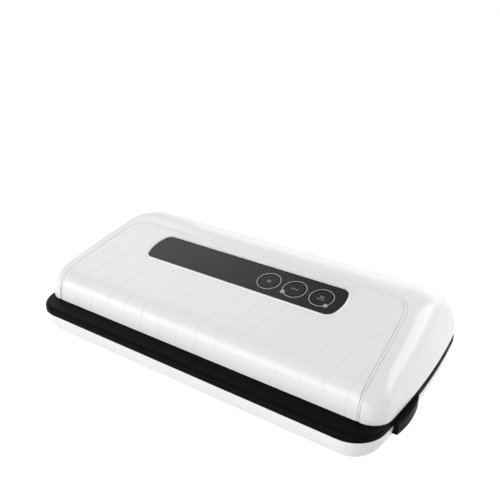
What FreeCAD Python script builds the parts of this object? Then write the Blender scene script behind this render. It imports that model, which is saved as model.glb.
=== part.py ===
import FreeCAD, Part
import math
import os
import re
import Sketcher
from FreeCAD import Placement, Rotation, Vector

# Household bag sealer: a shallow white tub with a black deck, and a white lid hinged at the rear that carries
# the control panel, the pump and the board. Millimetres; +X along the length, +Y to the rear, +Z up.
# The origin is the middle of the footprint, on the surface that the feet stand on.

doc = FreeCAD.newDocument("BagSealer")

driving = (
    ("body_length", "370", "length over the rim"),
    ("body_depth", "198.4", "depth over the rim"),
    ("side_bow", "7", "how far the short sides bulge"),
    ("corner_radius", "28", "plan radius of the rim and of the rear of the lid"),
    ("foot_height", "2", "tub floor above the table"),
    ("seam_height", "24", "joint between tub and deck"),
    ("rim_top", "30.6", "upper face of the deck"),
    ("rim_round", "4", "round along the top edge of the rim"),
    ("shell_wall", "2.5", "wall of tub, deck and lid"),
    ("tub_tuck", "14", "how far the tub draws in towards its floor"),
    ("fit_gap", "0.2", "clearance of pieces that are fitted together"),
    ("slide_gap", "0.4", "clearance of pieces that slide or swing"),
    ("lip_step", "1", "lip of the deck inside the wall of the tub"),
    ("lip_reach", "4", "lip of the deck below the seam"),
    ("lid_gap", "0.5", "seam between lid and deck"),
    ("lid_setback", "0.4", "lid edge inside the rim at sides and rear"),
    ("lid_ledge", "18.2", "deck left bare ahead of the lid"),
    ("lid_front_radius", "18", "plan radius of the front corners of the lid"),
    ("rear_relief", "1.5", "extra seam under the rear edge that swings down"),
    ("panel_height", "73.9", "top of the lid above the table, at mid depth"),
    ("top_tilt", "12", "slope of the top in degrees, front lower"),
    ("cheek_run", "22", "flat top inside the rim at its sides, where it is widest"),
    ("plateau_curve", "1057", "plan radius of the sides of the flat top"),
    ("plateau_apex", "100", "where those sides are widest, ahead of the middle"),
    ("rear_run", "70.2", "flat top inside the rim at the rear"),
    ("plateau_corner", "18", "plan radius of its rear corners"),
    ("plateau_front_corner", "26", "plan radius of its front corners"),
    ("front_roll", "19", "depth of the round along the front of the lid"),
    ("front_fullness", "2.7", "how square that round is"),
    ("side_fullness", "2.1", "how square the cheeks are"),
    ("rear_fullness", "1.72", "how square the rear slope is"),
    ("ridge_inset", "0.7", "fine channel from the edge of the flat top"),
    ("ridge_width", "0.8", "width of that channel"),
    ("ridge_depth", "0.6", "depth of that channel"),
    ("panel_length", "212", "control panel length"),
    ("panel_width", "37.6", "control panel width"),
    ("panel_bow", "5", "bulge of the panel ends"),
    ("panel_corner", "9", "corner radius of the panel"),
    ("panel_thick", "2.2", "thickness of the panel"),
    ("panel_sink", "0.3", "panel face below the flat top"),
    ("panel_ledge", "3", "ledge that the panel is bonded to"),
    ("panel_frame", "4", "border of the frame under the panel"),
    ("frame_depth", "5.5", "depth of the frame under the panel"),
    ("key_first", "30.2", "first key right of the middle"),
    ("key_pitch", "27.05", "distance between keys"),
    ("key_radius", "9", "radius of a key"),
    ("key_gap", "0.3", "hairline round a key"),
    ("key_flange", "1.4", "how far a key's flange reaches past its edge"),
    ("key_flange_thick", "1", "thickness of that flange"),
    ("key_travel", "0.4", "stroke of a key"),
    ("key_stem", "2", "radius of a key's stem"),
    ("lens_radius", "1.5", "radius of an indicator lens"),
    ("lens_orbit", "11.1", "distance of a lens from the middle of its key"),
    ("lens_angle_seal", "222", "direction of the lens of the middle key, degrees"),
    ("lens_angle_vacuum", "315", "direction of the lens of the right key, degrees"),
    ("board_thick", "1.6", "thickness of both boards"),
    ("board_drop", "9.5", "control board below the flat top"),
    ("board_length", "200", "control board length"),
    ("board_width", "34", "control board width"),
    ("switch_side", "6", "side of a switch body"),
    ("switch_height", "3.5", "height of a switch body"),
    ("plate_rise", "3", "lid plate above the deck"),
    ("plate_room", "1", "room between the lid plate and the wall of the lid"),
    ("plate_thick", "2.4", "thickness of the lid plate"),
    ("gasket_inset", "21", "gaskets inside the ends of the rim"),
    ("gasket_setback", "19", "gaskets behind the front edge of the lid"),
    ("gasket_depth", "58", "depth of the gasket rings from front to rear"),
    ("gasket_width", "7", "width of the gasket rings"),
    ("gasket_corner", "12", "corner radius of the gasket rings"),
    ("gasket_seat", "1.5", "depth of the grooves that hold the gaskets"),
    ("gasket_rise", "1.2", "lower gasket above the deck"),
    ("seal_gap", "0.35", "opening between facing seals at rest"),
    ("trough_inset", "16", "ends of the vacuum trough inside the gaskets"),
    ("trough_margin", "11", "long sides of the trough inside the gaskets"),
    ("trough_depth", "8", "depth of the trough"),
    ("bar_inset", "27", "heater bar inside the ends of the rim"),
    ("bar_width", "9", "heater bar width"),
    ("bar_height", "6.6", "heater bar height"),
    ("bar_setback", "11", "sealing line behind the front edge of the lid"),
    ("strip_width", "5", "heating strip width"),
    ("strip_thick", "0.3", "heating strip thickness"),
    ("tape_width", "12", "release tape width"),
    ("tape_thick", "0.2", "release tape thickness"),
    ("pad_width", "8", "pressure pad width"),
    ("pad_seat", "1", "depth of the groove that holds the pressure pad"),
    ("hinge_inset", "5.2", "hinge axis inside the rear of the rim"),
    ("hinge_height", "39", "hinge axis above the table"),
    ("hinge_end", "72", "middle of a hinge inside the ends of the rim"),
    ("hinge_notch", "9", "hinge notches ahead of the hinge axis"),
    ("knuckle_arm", "14", "arms of the lid knuckles ahead of the hinge axis"),
    ("relief_run", "8", "rear relief ahead of the hinge axis"),
    ("knuckle_radius", "4.6", "outer radius of the hinge knuckles"),
    ("knuckle_length", "13", "length of a lid knuckle"),
    ("ear_thick", "6", "thickness of a base knuckle"),
    ("pin_radius", "1.5", "hinge pin radius"),
    ("pin_play", "0.05", "radial running clearance of the pins and the shaft"),
    ("hinge_room", "1.2", "room round a hinge"),
    ("button_setback", "37.7", "front end of a release button behind the front of the rim"),
    ("button_length", "41", "length of a release button"),
    ("button_low", "16.2", "lower edge of a release button"),
    ("button_high", "27.4", "upper edge of a release button"),
    ("button_proud", "4.6", "how far a release button stands out of the side"),
    ("button_crown", "2.3", "bulge of its outer face"),
    ("button_round", "1", "round along the edges of its outer face"),
    ("arm_low", "11", "underside of a release button's inner arm"),
    ("button_travel", "3", "stroke of a release button"),
    ("button_flange", "2", "flange that keeps a button in its window"),
    ("hook_width", "14", "width of the release hook and of the lid catch"),
    ("catch_thick", "2.2", "thickness of a lid catch"),
    ("hook_thick", "3", "thickness of the release hook"),
    ("hook_nose", "1.6", "reach of the hook's nose and of the catch's ledge"),
    ("hook_lead", "3", "top of the hook above its nose's reach"),
    ("slot_room", "2", "room in the deck's slot at both ends of a catch"),
    ("window_run", "4", "deck window inside the lip"),
    ("catch_reach", "9", "how far a catch hangs below the deck"),
    ("catch_inset", "9", "outer face of a catch from the rim"),
    ("spring_radius", "3", "mean radius of a button spring"),
    ("spring_wire", "0.8", "wire of a button spring"),
    ("spring_length", "13", "length of a button spring at rest"),
    ("spring_turns", "5", "turns of a button spring"),
    ("foot_radius", "9", "radius of a foot"),
    ("foot_seat", "1", "depth of a foot's recess"),
    ("foot_inset_x", "45", "feet inside the ends of the rim"),
    ("foot_inset_y", "39.2", "feet inside the front and rear of the rim"),
    ("post_radius", "4.2", "radius of the screw posts"),
    ("post_end", "29", "outer deck posts inside the ends of the rim"),
    ("post_line", "8", "side deck posts behind the middle"),
    ("lid_post_end", "37", "outer lid posts inside the ends of the rim"),
    ("lid_post_back", "19", "front lid posts behind the gaskets"),
    ("lid_post_side", "5", "inner lid posts beside the pump head"),
    ("stud_radius", "3.2", "radius of the studs that hold the boards"),
    ("stud_inset", "6", "studs inside the edges of the boards"),
    ("stud_side", "1.3", "studs inside the ledge of the panel"),
    ("screw_radius", "1.5", "screw shank radius"),
    ("screw_head", "3", "screw head radius"),
    ("head_thick", "1.2", "screw head thickness"),
    ("screw_grip", "10", "length of screw in its post"),
    ("motor_radius", "13.5", "pump motor radius"),
    ("motor_length", "45", "pump motor length"),
    ("motor_start", "12", "left end of the motor left of the middle"),
    ("motor_inset", "53.2", "motor axis inside the rear of the rim"),
    ("motor_height", "53", "motor axis above the table"),
    ("motor_boss", "5", "radius of the boss at the motor's end"),
    ("boss_length", "3", "length of that boss"),
    ("shaft_radius", "1.6", "motor shaft radius"),
    ("crank_radius", "6", "radius of the eccentric"),
    ("crank_throw", "2", "throw of the eccentric"),
    ("crank_thick", "8", "thickness of the eccentric"),
    ("crank_room", "1.2", "room round the eccentric"),
    ("head_length", "36", "pump head along the motor axis"),
    ("head_depth", "28", "pump head across the motor axis"),
    ("head_height", "30", "pump head above the lid plate"),
    ("head_wall", "5", "end wall of the pump head"),
    ("cradle_length", "26", "length of the motor cradle"),
    ("cradle_wall", "3", "wall of the motor cradle"),
    ("cradle_drop", "3", "top of the cradle below the motor axis"),
    ("hose_radius", "3.6", "outer radius of the suction hose"),
    ("hose_bore", "2.2", "bore radius of the suction hose"),
    ("hose_bend", "12", "bend radius of the suction hose"),
    ("hose_height", "54", "level run of the hose above the table"),
    ("hose_x", "52", "hose right of the middle"),
    ("hose_grip", "4", "length of hose on a nipple"),
    ("port_inset", "5", "suction port ahead of the rear of the trough"),
    ("port_height", "7", "suction port above the lid plate"),
    ("port_wall", "1.2", "wall of the suction nozzle"),
    ("port_flange", "1.5", "thickness of the nozzle's flange"),
    ("supply_length", "120", "supply board length"),
    ("supply_width", "52", "supply board width"),
    ("supply_inset", "51.2", "middle of the supply board inside the rear of the rim"),
    ("supply_rise", "5", "supply board above the tub floor"),
    ("transformer_length", "34", "transformer length"),
    ("transformer_width", "30", "transformer width"),
    ("transformer_height", "14", "transformer height"),
    ("bobbin_length", "23.8", "length of the transformer's winding"),
    ("bobbin_drop", "2", "top of the winding below the core"),
    ("capacitor_radius", "5", "capacitor radius"),
    ("capacitor_height", "12", "capacitor height"),
    ("capacitor_start", "20", "first capacitor right of the middle of the board"),
    ("capacitor_pitch", "13", "distance between capacitors"),
    ("inlet_length", "26", "mains inlet width"),
    ("inlet_height", "13.5", "mains inlet height"),
    ("inlet_depth", "18", "mains inlet depth"),
    ("inlet_end", "75", "middle of the mains inlet inside the left end of the rim"),
    ("inlet_low", "6", "underside of the mains inlet"),
    ("inlet_recess", "6", "inlet face inside the rim"),
    ("socket_length", "18", "socket width"),
    ("socket_height", "8", "socket height"),
    ("socket_depth", "12", "socket depth"),
    ("contact_radius", "1.2", "contact pin radius"),
    ("contact_length", "6", "contact pin length"),
    ("contact_pitch", "8.6", "distance between contact pins"),
)

# Places and sizes that follow from the driving ones.
derived = (
    ("half_length", "body_length / 2"),
    ("half_depth", "body_depth / 2"),
    ("lid_front", "body_depth / 2 - lid_ledge"),
    ("plateau_half", "body_length / 2 - cheek_run"),
    ("plateau_rear", "body_depth / 2 - rear_run"),
    ("gasket_half", "body_length / 2 - gasket_inset"),
    ("gasket_front", "body_depth / 2 - lid_ledge - gasket_setback"),
    ("gasket_rear", "body_depth / 2 - lid_ledge - gasket_setback - gasket_depth"),
    ("trough_half", "body_length / 2 - gasket_inset - trough_inset"),
    ("trough_front", "body_depth / 2 - lid_ledge - gasket_setback - trough_margin"),
    ("trough_rear", "body_depth / 2 - lid_ledge - gasket_setback - gasket_depth + trough_margin"),
    ("port_line", "body_depth / 2 - lid_ledge - gasket_setback - gasket_depth + trough_margin + port_inset"),
    ("bar_length", "body_length - 2 * bar_inset"),
    ("bar_line", "body_depth / 2 - lid_ledge - bar_setback"),
    ("hinge_line", "body_depth / 2 - hinge_inset"),
    ("hinge_spread", "body_length / 2 - hinge_end"),
    ("button_front", "body_depth / 2 - button_setback"),
    ("button_rear", "body_depth / 2 - button_setback - button_length"),
    ("foot_spread_x", "body_length / 2 - foot_inset_x"),
    ("foot_spread_y", "body_depth / 2 - foot_inset_y"),
    ("motor_line", "body_depth / 2 - motor_inset"),
    ("supply_line", "body_depth / 2 - supply_inset"),
    ("inlet_offset", "body_length / 2 - inlet_end"),
    ("lid_bottom", "rim_top + lid_gap"),
    ("deck_under", "rim_top - shell_wall"),
    ("floor_top", "foot_height + shell_wall"),
    ("plate_under", "rim_top + plate_rise"),
    ("plate_top", "rim_top + plate_rise + plate_thick"),
    ("gasket_length", "body_length - 2 * gasket_inset"),
    ("gasket_inner_length", "body_length - 2 * gasket_inset - 2 * gasket_width"),
    ("gasket_inner_depth", "gasket_depth - 2 * gasket_width"),
    ("gasket_inner_corner", "gasket_corner - gasket_width"),
    ("gasket_middle", "lid_ledge + gasket_setback + gasket_depth / 2 - body_depth / 2"),
    ("gasket_top", "rim_top + gasket_rise"),
    ("bar_bottom", "rim_top + fit_gap - bar_height"),
    ("bar_top", "rim_top + fit_gap"),
    ("strip_top", "rim_top + fit_gap + strip_thick"),
    ("tape_top", "rim_top + fit_gap + strip_thick + tape_thick"),
    ("ear_outer", "knuckle_length / 2 + slide_gap + ear_thick"),
    ("board_top", "-board_drop"),
    ("board_bottom", "-board_drop - board_thick"),
    ("switch_top", "switch_height - board_drop"),
    ("panel_face", "-panel_sink"),
    ("panel_back", "-panel_sink - panel_thick"),
    ("flange_top", "-panel_sink - panel_thick - key_gap"),
    ("supply_bottom", "foot_height + shell_wall + supply_rise"),
    ("supply_top", "foot_height + shell_wall + supply_rise + board_thick"),
    ("head_start", "motor_length - motor_start"),
    ("port_outer", "hose_bore + port_wall"),
    ("port_rim", "hose_radius + port_wall"),
    ("port_tube", "hose_bore - pin_play"),
    ("catch_low", "rim_top - catch_reach"),
)

dims = doc.addObject("Spreadsheet::Sheet", "Dims")
for row, (alias, number, note) in enumerate(driving, start=1):
    dims.set(f"A{row}", note)
    dims.set(f"B{row}", number)
    dims.setAlias(f"B{row}", alias)
owner = {alias: "Dims." for alias, number, note in driving}


def formula(text):
    # Each size named in the text is read from its sheet.
    return re.sub(r"[a-z_]+", lambda word: owner.get(word.group(), "") + word.group(), text)


places = doc.addObject("Spreadsheet::Sheet", "Places")
for row, (alias, text) in enumerate(derived, start=1):
    places.set(f"B{row}", "=" + formula(text))
    places.setAlias(f"B{row}", alias)
owner.update({alias: "Places." for alias, text in derived})
doc.recompute()


def size(alias):
    sheet = dims if owner[alias] == "Dims." else places
    return float(sheet.get(alias))


# How far a cutting or joining shape runs past the face it meets.
past = 1


def box(low, high):
    low = Vector(*low)
    span = Vector(*high) - low
    return Part.makeBox(span.x, span.y, span.z, low)


def cylinder(radius, start, end):
    start = Vector(*start)
    run = Vector(*end) - start
    return Part.makeCylinder(radius, run.Length, start, run)


def fused(shapes):
    first, *rest = shapes
    return first.multiFuse(rest).removeSplitter()


def piece(label, shape, placement=None):
    item = doc.addObject("Part::Feature", label)
    item.Label = label
    item.Shape = shape
    item.Placement = placement or Placement()
    return item


# Pieces built from bound primitives.


def bind(item, **links):
    for name, text in links.items():
        item.setExpression(name, formula(text))
    return item


def move(item, x="0", y="0", z="0"):
    for axis, text in zip("xyz", (x, y, z)):
        item.setExpression(f"Placement.Base.{axis}", formula(text))
    return item


def block(name, length, width, height, x, y, z):
    # x and y are the middle of the block, z its underside.
    item = doc.addObject("Part::Box", name)
    bind(item, Length=length, Width=width, Height=height)
    return move(item, f"{x} - ({length}) / 2", f"{y} - ({width}) / 2", z)


def rod(name, radius, length, x, y, z, along=Vector(0, 0, 1)):
    item = doc.addObject("Part::Cylinder", name)
    bind(item, Radius=radius, Height=length)
    item.Placement = Placement(Vector(), Rotation(Vector(0, 0, 1), along))
    return move(item, x, y, z)


def joined(label, items):
    item = doc.addObject("Part::MultiFuse", label)
    item.Shapes = items
    item.Label = label
    return item


def gathered(label, items):
    # Separate solids that share one node.
    item = doc.addObject("Part::Compound", label)
    item.Links = items
    item.Label = label
    return item


def cut(label, base, tools):
    item = doc.addObject("Part::Cut", label)
    item.Base = base
    item.Tool = tools[0] if len(tools) == 1 else joined(label + "_tools", tools)
    item.Label = label
    return item


def named(label, item):
    item.Label = label
    return item


# Sketched pieces.


def new_body(label):
    body = doc.addObject("PartDesign::Body", label)
    body.Label = label
    return body


def new_sketch(body, name, role):
    plane = next(part for part in body.Origin.OriginFeatures if part.Role == role)
    sketch = body.newObject("Sketcher::SketchObject", name)
    sketch.AttachmentSupport = [(plane, "")]
    sketch.MapMode = "FlatFace"
    return sketch


def dimension(sketch, kind, *arguments, text):
    index = sketch.addConstraint(Sketcher.Constraint(kind, *arguments))
    sketch.setExpression(f"Constraints[{index}]", formula(text))


def rounded_rectangle(sketch, length, width, radius):
    # Centred on the origin of the sketch; the three sizes are aliases.
    along, across, round_off = size(length) / 2, size(width) / 2, size(radius)
    middles = ((1, 1), (-1, 1), (-1, -1), (1, -1))
    arcs = []
    for quarter, (sign_x, sign_y) in enumerate(middles):
        centre = Vector(sign_x * (along - round_off), sign_y * (across - round_off), 0)
        circle = Part.Circle(centre, Vector(0, 0, 1), round_off)
        start = quarter * math.pi / 2
        arcs.append(sketch.addGeometry(Part.ArcOfCircle(circle, start, start + math.pi / 2), False))
    lines = []
    for quarter in range(4):
        start = sketch.getPoint(arcs[quarter], 2)
        end = sketch.getPoint(arcs[(quarter + 1) % 4], 1)
        lines.append(sketch.addGeometry(Part.LineSegment(start, end), False))
    for quarter in range(4):
        sketch.addConstraint(Sketcher.Constraint("Tangent", arcs[quarter], 2, lines[quarter], 1))
        sketch.addConstraint(Sketcher.Constraint("Tangent", lines[quarter], 2, arcs[(quarter + 1) % 4], 1))
        direction = "Vertical" if quarter % 2 else "Horizontal"
        sketch.addConstraint(Sketcher.Constraint(direction, lines[quarter]))
    for quarter in range(1, 4):
        sketch.addConstraint(Sketcher.Constraint("Equal", arcs[0], arcs[quarter]))
    sketch.addConstraint(Sketcher.Constraint("Symmetric", arcs[0], 3, arcs[2], 3, -1, 1))
    dimension(sketch, "Radius", arcs[0], round_off, text=radius)
    dimension(sketch, "DistanceX", lines[1], 1, lines[3], 1, 2 * along, text=length)
    dimension(sketch, "DistanceY", lines[2], 1, lines[0], 1, 2 * across, text=width)


def half_profile(sketch, steps):
    # A turned outline from the axis outwards: each step is (radius alias, height formula and value).
    points = [Vector(0, steps[0][2], 0)]
    for radius, text, height in steps:
        points.append(Vector(size(radius), height, 0))
    points.append(Vector(0, steps[-1][2], 0))
    count = len(points)
    lines = []
    for index in range(count):
        segment = Part.LineSegment(points[index], points[(index + 1) % count])
        lines.append(sketch.addGeometry(segment, False))
    for index in range(count):
        following = lines[(index + 1) % count]
        sketch.addConstraint(Sketcher.Constraint("Coincident", lines[index], 2, following, 1))
    for index in (0, count - 1):
        sketch.addConstraint(Sketcher.Constraint("PointOnObject", lines[index], 1, -2))
    sketch.addConstraint(Sketcher.Constraint("Horizontal", lines[0]))
    sketch.addConstraint(Sketcher.Constraint("Horizontal", lines[count - 2]))
    for index, (radius, text, height) in enumerate(steps, start=1):
        dimension(sketch, "DistanceX", -1, 1, lines[index], 1, size(radius), text=radius)
        dimension(sketch, "DistanceY", -1, 1, lines[index], 1, height, text=text)


def turned(label, steps):
    # A solid of revolution about its own Z axis.
    body = new_body(label)
    sketch = new_sketch(body, label + "_profile", "XZ_Plane")
    half_profile(sketch, steps)
    spin = body.newObject("PartDesign::Revolution", label + "_spin")
    spin.Profile = sketch
    spin.ReferenceAxis = (sketch, ["V_Axis"])
    spin.Angle = 360
    return body


def padded(label, height, *rectangles):
    # A plate, or a ring when a second rectangle lies inside the first.
    body = new_body(label)
    sketch = new_sketch(body, label + "_outline", "XY_Plane")
    for rectangle in rectangles:
        rounded_rectangle(sketch, *rectangle)
    pad = body.newObject("PartDesign::Pad", label + "_pad")
    pad.Profile = sketch
    bind(pad, Length=height)
    return body


# Plan outlines of the shells: straight front and rear, bulging sides, tangent corners.


def outline(half, curve, apex, front, rear, front_radius, rear_radius):
    hub = Vector(half - curve, apex, 0)

    def corner(edge, radius, inward):
        centre_y = edge + inward * radius
        reach = math.sqrt((curve - radius) ** 2 - (centre_y - apex) ** 2)
        centre = Vector(hub.x + reach, centre_y, 0)
        outward = (centre - hub).normalize()
        touch = hub + outward * curve
        flat = Vector(centre.x, edge, 0)
        middle = centre + (touch + flat - centre * 2).normalize() * radius
        return flat, middle, touch

    front_flat, front_middle, front_touch = corner(front, front_radius, 1)
    rear_flat, rear_middle, rear_touch = corner(rear, rear_radius, -1)
    side_middle = hub + (front_touch + rear_touch - hub * 2).normalize() * curve

    def mirrored(point):
        return Vector(-point.x, point.y, 0)

    right = (
        (front_flat, front_middle, front_touch),
        (front_touch, side_middle, rear_touch),
        (rear_touch, rear_middle, rear_flat),
    )
    edges = [Part.LineSegment(mirrored(front_flat), front_flat).toShape()]
    edges += [Part.Arc(*points).toShape() for points in right]
    edges.append(Part.LineSegment(rear_flat, mirrored(rear_flat)).toShape())
    for points in reversed(right):
        edges.append(Part.Arc(*[mirrored(point) for point in reversed(points)]).toShape())
    return Part.Wire(edges)


def side_curve():
    half, bow = size("half_depth"), size("side_bow")
    return (half**2 + bow**2) / (2 * bow)


def rim_outline(inset, height):
    # The outline of the rim, drawn in by an even inset.
    half_depth = size("half_depth") - inset
    radius = size("corner_radius") - inset
    wire = outline(
        size("half_length") - inset, side_curve() - inset, 0, -half_depth, half_depth, radius, radius
    )
    wire.translate(Vector(0, 0, height))
    return wire


def prism(wire, height):
    return Part.Face(wire).extrude(Vector(0, 0, height))


def rim_prism(inset, low, high):
    return prism(rim_outline(inset, low), high - low)


def quarter_round(share, fullness):
    # How far a rounded edge has drawn in at a share of its height: 0 at the foot, 1 at the top.
    return 1 - (1 - share**fullness) ** (1 / fullness)


# Shares of the height at which the rounded shells have a section.
shell_shares = (0, 0.3, 0.55, 0.75, 0.88, 0.96, 0.99, 1)
tuck_shares = (0, 0.3, 0.55, 0.75, 0.9, 0.97, 1)


def tub_loft(wall, low):
    # The tub draws in towards its floor; the wall is taken off all round.
    high = size("seam_height")
    wires = []
    for share in tuck_shares:
        inset = size("tub_tuck") * quarter_round(share, 2) + wall
        wires.append(rim_outline(inset, high - share * (high - low)))
    return Part.makeLoft(wires, True)


def lid_loft(wall, foot):
    # The lid from its foot to the sloping flat top, the wall taken off all round.
    tilt = math.radians(size("top_tilt"))
    top = size("panel_height") - wall / math.cos(tilt)
    wires = []
    for share in shell_shares:
        side = quarter_round(share, size("side_fullness"))
        rear = quarter_round(share, size("rear_fullness"))
        front = quarter_round(share, size("front_fullness"))

        def between(start, end, weight):
            return start + (end - start) * weight

        slope = math.atan(share * math.tan(tilt))
        foreshortened = math.cos(slope)
        edge_half = size("half_length") - size("lid_setback")
        edge_rear = size("half_depth") - size("lid_setback")
        lid_front = -size("lid_front")
        wire = outline(
            between(edge_half, size("plateau_half"), side) - wall,
            between(side_curve(), size("plateau_curve"), side) - wall,
            between(0, -size("plateau_apex"), side),
            (between(lid_front, lid_front + size("front_roll"), front) + wall) / foreshortened,
            (between(edge_rear, size("plateau_rear"), rear) - wall) / foreshortened,
            between(size("lid_front_radius"), size("plateau_front_corner"), side) - wall,
            between(size("corner_radius"), size("plateau_corner"), side) - wall,
        )
        wire.rotate(Vector(), Vector(1, 0, 0), math.degrees(slope))
        wire.translate(Vector(0, 0, foot + share * (top - foot)))
        wires.append(wire)
    return Part.makeLoft(wires, True)


def on_top():
    # From the frame of the flat top, whose face is its XY plane, to the part's frame.
    return Placement(Vector(0, 0, size("panel_height")), Rotation(Vector(1, 0, 0), size("top_tilt")))


def tilted(shape):
    shape.Placement = on_top()
    return shape


def panel_outline(grow, height):
    half, bow = size("panel_width") / 2, size("panel_bow")
    curve = (half**2 + bow**2) / (2 * bow) + grow
    radius = size("panel_corner") + grow
    half += grow
    wire = outline(size("panel_length") / 2 + grow, curve, 0, -half, half, radius, radius)
    wire.translate(Vector(0, 0, height))
    return wire


def panel_prism(grow, low, high):
    return prism(panel_outline(grow, low), high - low)


def ring_prism(grow, low, high):
    # The gasket ring, widened by a clearance on both edges.
    def rounded(half, front, rear, radius):
        flat = 50 * half
        wire = outline(half, flat, -(front + rear) / 2, -front, -rear, radius, radius)
        wire.translate(Vector(0, 0, low))
        return prism(wire, high - low)

    width = size("gasket_width")
    half, front, rear = size("gasket_half"), size("gasket_front"), size("gasket_rear")
    outer = rounded(half + grow, front + grow, rear - grow, size("gasket_corner") + grow)
    slack = width + grow
    inner = rounded(half - slack, front - slack, rear + slack, size("gasket_inner_corner") - grow)
    return outer.cut(inner)


key_names = ("stop_key", "seal_key", "vacuum_key")


def key_x(index):
    return size("key_first") + index * size("key_pitch")


def lens_spots():
    # Each lens sits on the circle round its key: the middle key and the right one.
    for index, alias in ((1, "lens_angle_seal"), (2, "lens_angle_vacuum")):
        angle = math.radians(size(alias))
        orbit = size("lens_orbit")
        yield key_x(index) + orbit * math.cos(angle), orbit * math.sin(angle)


def mirror_x(shape):
    return shape.mirror(Vector(), Vector(1, 0, 0))


def both_sides(shape):
    return [shape, mirror_x(shape)]


def mirrored_spots(spots):
    return [(x * sign, y) for x, y in spots for sign in (1, -1)]


def screw_spots():
    # The posts of the deck, which the tub is screwed to from below.
    end, inner = size("half_length") - size("post_end"), size("trough_half") / 2
    rear = size("foot_spread_y")
    return mirrored_spots(((end, size("post_line")), (end, rear), (inner, -rear)))


def lid_screw_spots():
    # The posts of the lid, behind the gasket, which the lid plate is screwed to.
    end = size("half_length") - size("lid_post_end")
    inner = size("head_start") + size("head_length") + size("lid_post_side")
    front, rear = size("lid_post_back") - size("gasket_rear"), size("foot_spread_y")
    return mirrored_spots(((end, front), (end, rear), (inner, rear)))


def foot_spots():
    return [(x * size("foot_spread_x"), y * size("foot_spread_y")) for x in (1, -1) for y in (1, -1)]


def side_at(y):
    # The side of the rim at a given depth.
    curve = side_curve()
    return size("half_length") - curve + math.sqrt(curve**2 - y**2)


# Release buttons, right hand; the left hand is its mirror image.

button_middle = -(size("button_front") + size("button_rear")) / 2
button_half = (size("button_front") - size("button_rear")) / 2
button_face = side_at(button_middle) + size("button_proud")
catch_face = side_at(button_middle) - size("catch_inset")
hook_face = catch_face - size("catch_thick") - 2 * size("hook_nose") - size("slide_gap")


def button_window(grow, low_x, high_x):
    low = (low_x, button_middle - button_half - grow, size("button_low") - grow)
    high = (high_x, button_middle + button_half + grow, size("button_high") + grow)
    return box(low, high)


def release_button():
    reach = size("button_flange")
    wall_face = side_at(button_middle - button_half - reach) - 2 * size("shell_wall") - 2 * size("fit_gap")
    cap = button_window(0, wall_face - reach, button_face)
    crown = (button_half**2 + size("button_crown") ** 2) / (2 * size("button_crown"))
    hub = button_face - crown
    low, high = size("button_low"), size("button_high")
    face = cylinder(crown, (hub, button_middle, low), (hub, button_middle, high))
    cap = cap.common(face)
    crowned = max(cap.Faces, key=lambda side: side.CenterOfMass.x)
    cap = cap.makeFillet(size("button_round"), crowned.Edges)
    flange_low = wall_face - reach - size("fit_gap")
    flange = box(
        (flange_low, button_middle - button_half - reach, low - reach),
        (wall_face - size("fit_gap"), button_middle + button_half + reach, high),
    )
    half_hook = size("hook_width") / 2
    hook_top = size("catch_low") + 2 * size("hook_nose") + size("hook_lead")
    arm_inner = hook_face - size("hook_thick")
    front, rear = button_middle - half_hook, button_middle + half_hook
    web_top = size("catch_low") - size("button_travel")
    arm_low = size("arm_low")
    web = box((arm_inner, front, arm_low), (flange_low + past, rear, web_top))
    arm = box((arm_inner, front, arm_low), (hook_face, rear, hook_top))
    nose_low = size("catch_low") + size("hook_nose") + size("slide_gap")
    nose = box((hook_face - past, front, nose_low), (hook_face + size("hook_nose"), rear, hook_top))
    spigot = cylinder(
        size("spring_radius") - size("spring_wire"),
        (arm_inner - size("spring_wire") * 2, button_middle, spring_height),
        (arm_inner + past, button_middle, spring_height),
    )
    room_face = catch_face + 2 * size("slide_gap") + size("button_travel")
    room = box(
        (hook_face, front - past, web_top),
        (room_face, rear + past, high + size("button_flange")),
    )
    shell = fused([cap, flange]).cut(room)
    return fused([shell, web, arm, nose, spigot])


spring_height = (size("arm_low") + size("catch_low") - size("button_travel")) / 2
spring_end = hook_face - size("hook_thick")
spring_start = spring_end - size("spring_length")


def biarc(start, start_way, end, end_way):
    # Two tangent arcs from one point and direction to the next.
    span = end - start
    ways = start_way + end_way
    square = 2 * (start_way.dot(end_way) - 1)
    linear = -2 * span.dot(ways)
    handle = (-linear - math.sqrt(linear**2 - 4 * square * span.dot(span))) / (2 * square)
    first, second = start + start_way * handle, end - end_way * handle
    meeting = (first + second) / 2
    arcs = []
    for near, tip, far in ((start, first, meeting), (meeting, second, end)):
        chord_middle = (near + far) / 2
        turn = math.acos((far - near).Length / (2 * handle))
        bulge = math.tan(turn / 2) / math.tan(turn)
        arcs.append(Part.Arc(near, chord_middle + (tip - chord_middle) * bulge, far).toShape())
    return arcs


def button_spring():
    radius, wire = size("spring_radius"), size("spring_wire")
    turns = int(size("spring_turns"))
    run = size("spring_length") - wire - 2 * size("fit_gap")
    first = spring_start + size("fit_gap") + wire / 2
    rise = run / turns / (2 * math.pi)

    def at(angle):
        return Vector(
            first + rise * angle,
            button_middle + radius * math.cos(angle),
            spring_height + radius * math.sin(angle),
        )

    def way(angle):
        return Vector(rise, -radius * math.sin(angle), radius * math.cos(angle)).normalize()

    quarter = math.pi / 2
    edges = []
    for step in range(4 * turns):
        angle = step * quarter
        edges += biarc(at(angle), way(angle), at(angle + quarter), way(angle + quarter))
    path = Part.Wire(edges)
    section = Part.Wire([Part.Circle(at(0), way(0), wire / 2).toShape()])
    print(f"button spring: gap between turns {run / turns - wire:.2f} mm, volume ratio", end=" ")
    coil = path.makePipeShell([section], True, False)
    print(f"{coil.Volume / (path.Length * math.pi * wire**2 / 4):.3f}")
    return coil


# Tub with its windows, screw holes and foot recesses.


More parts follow.
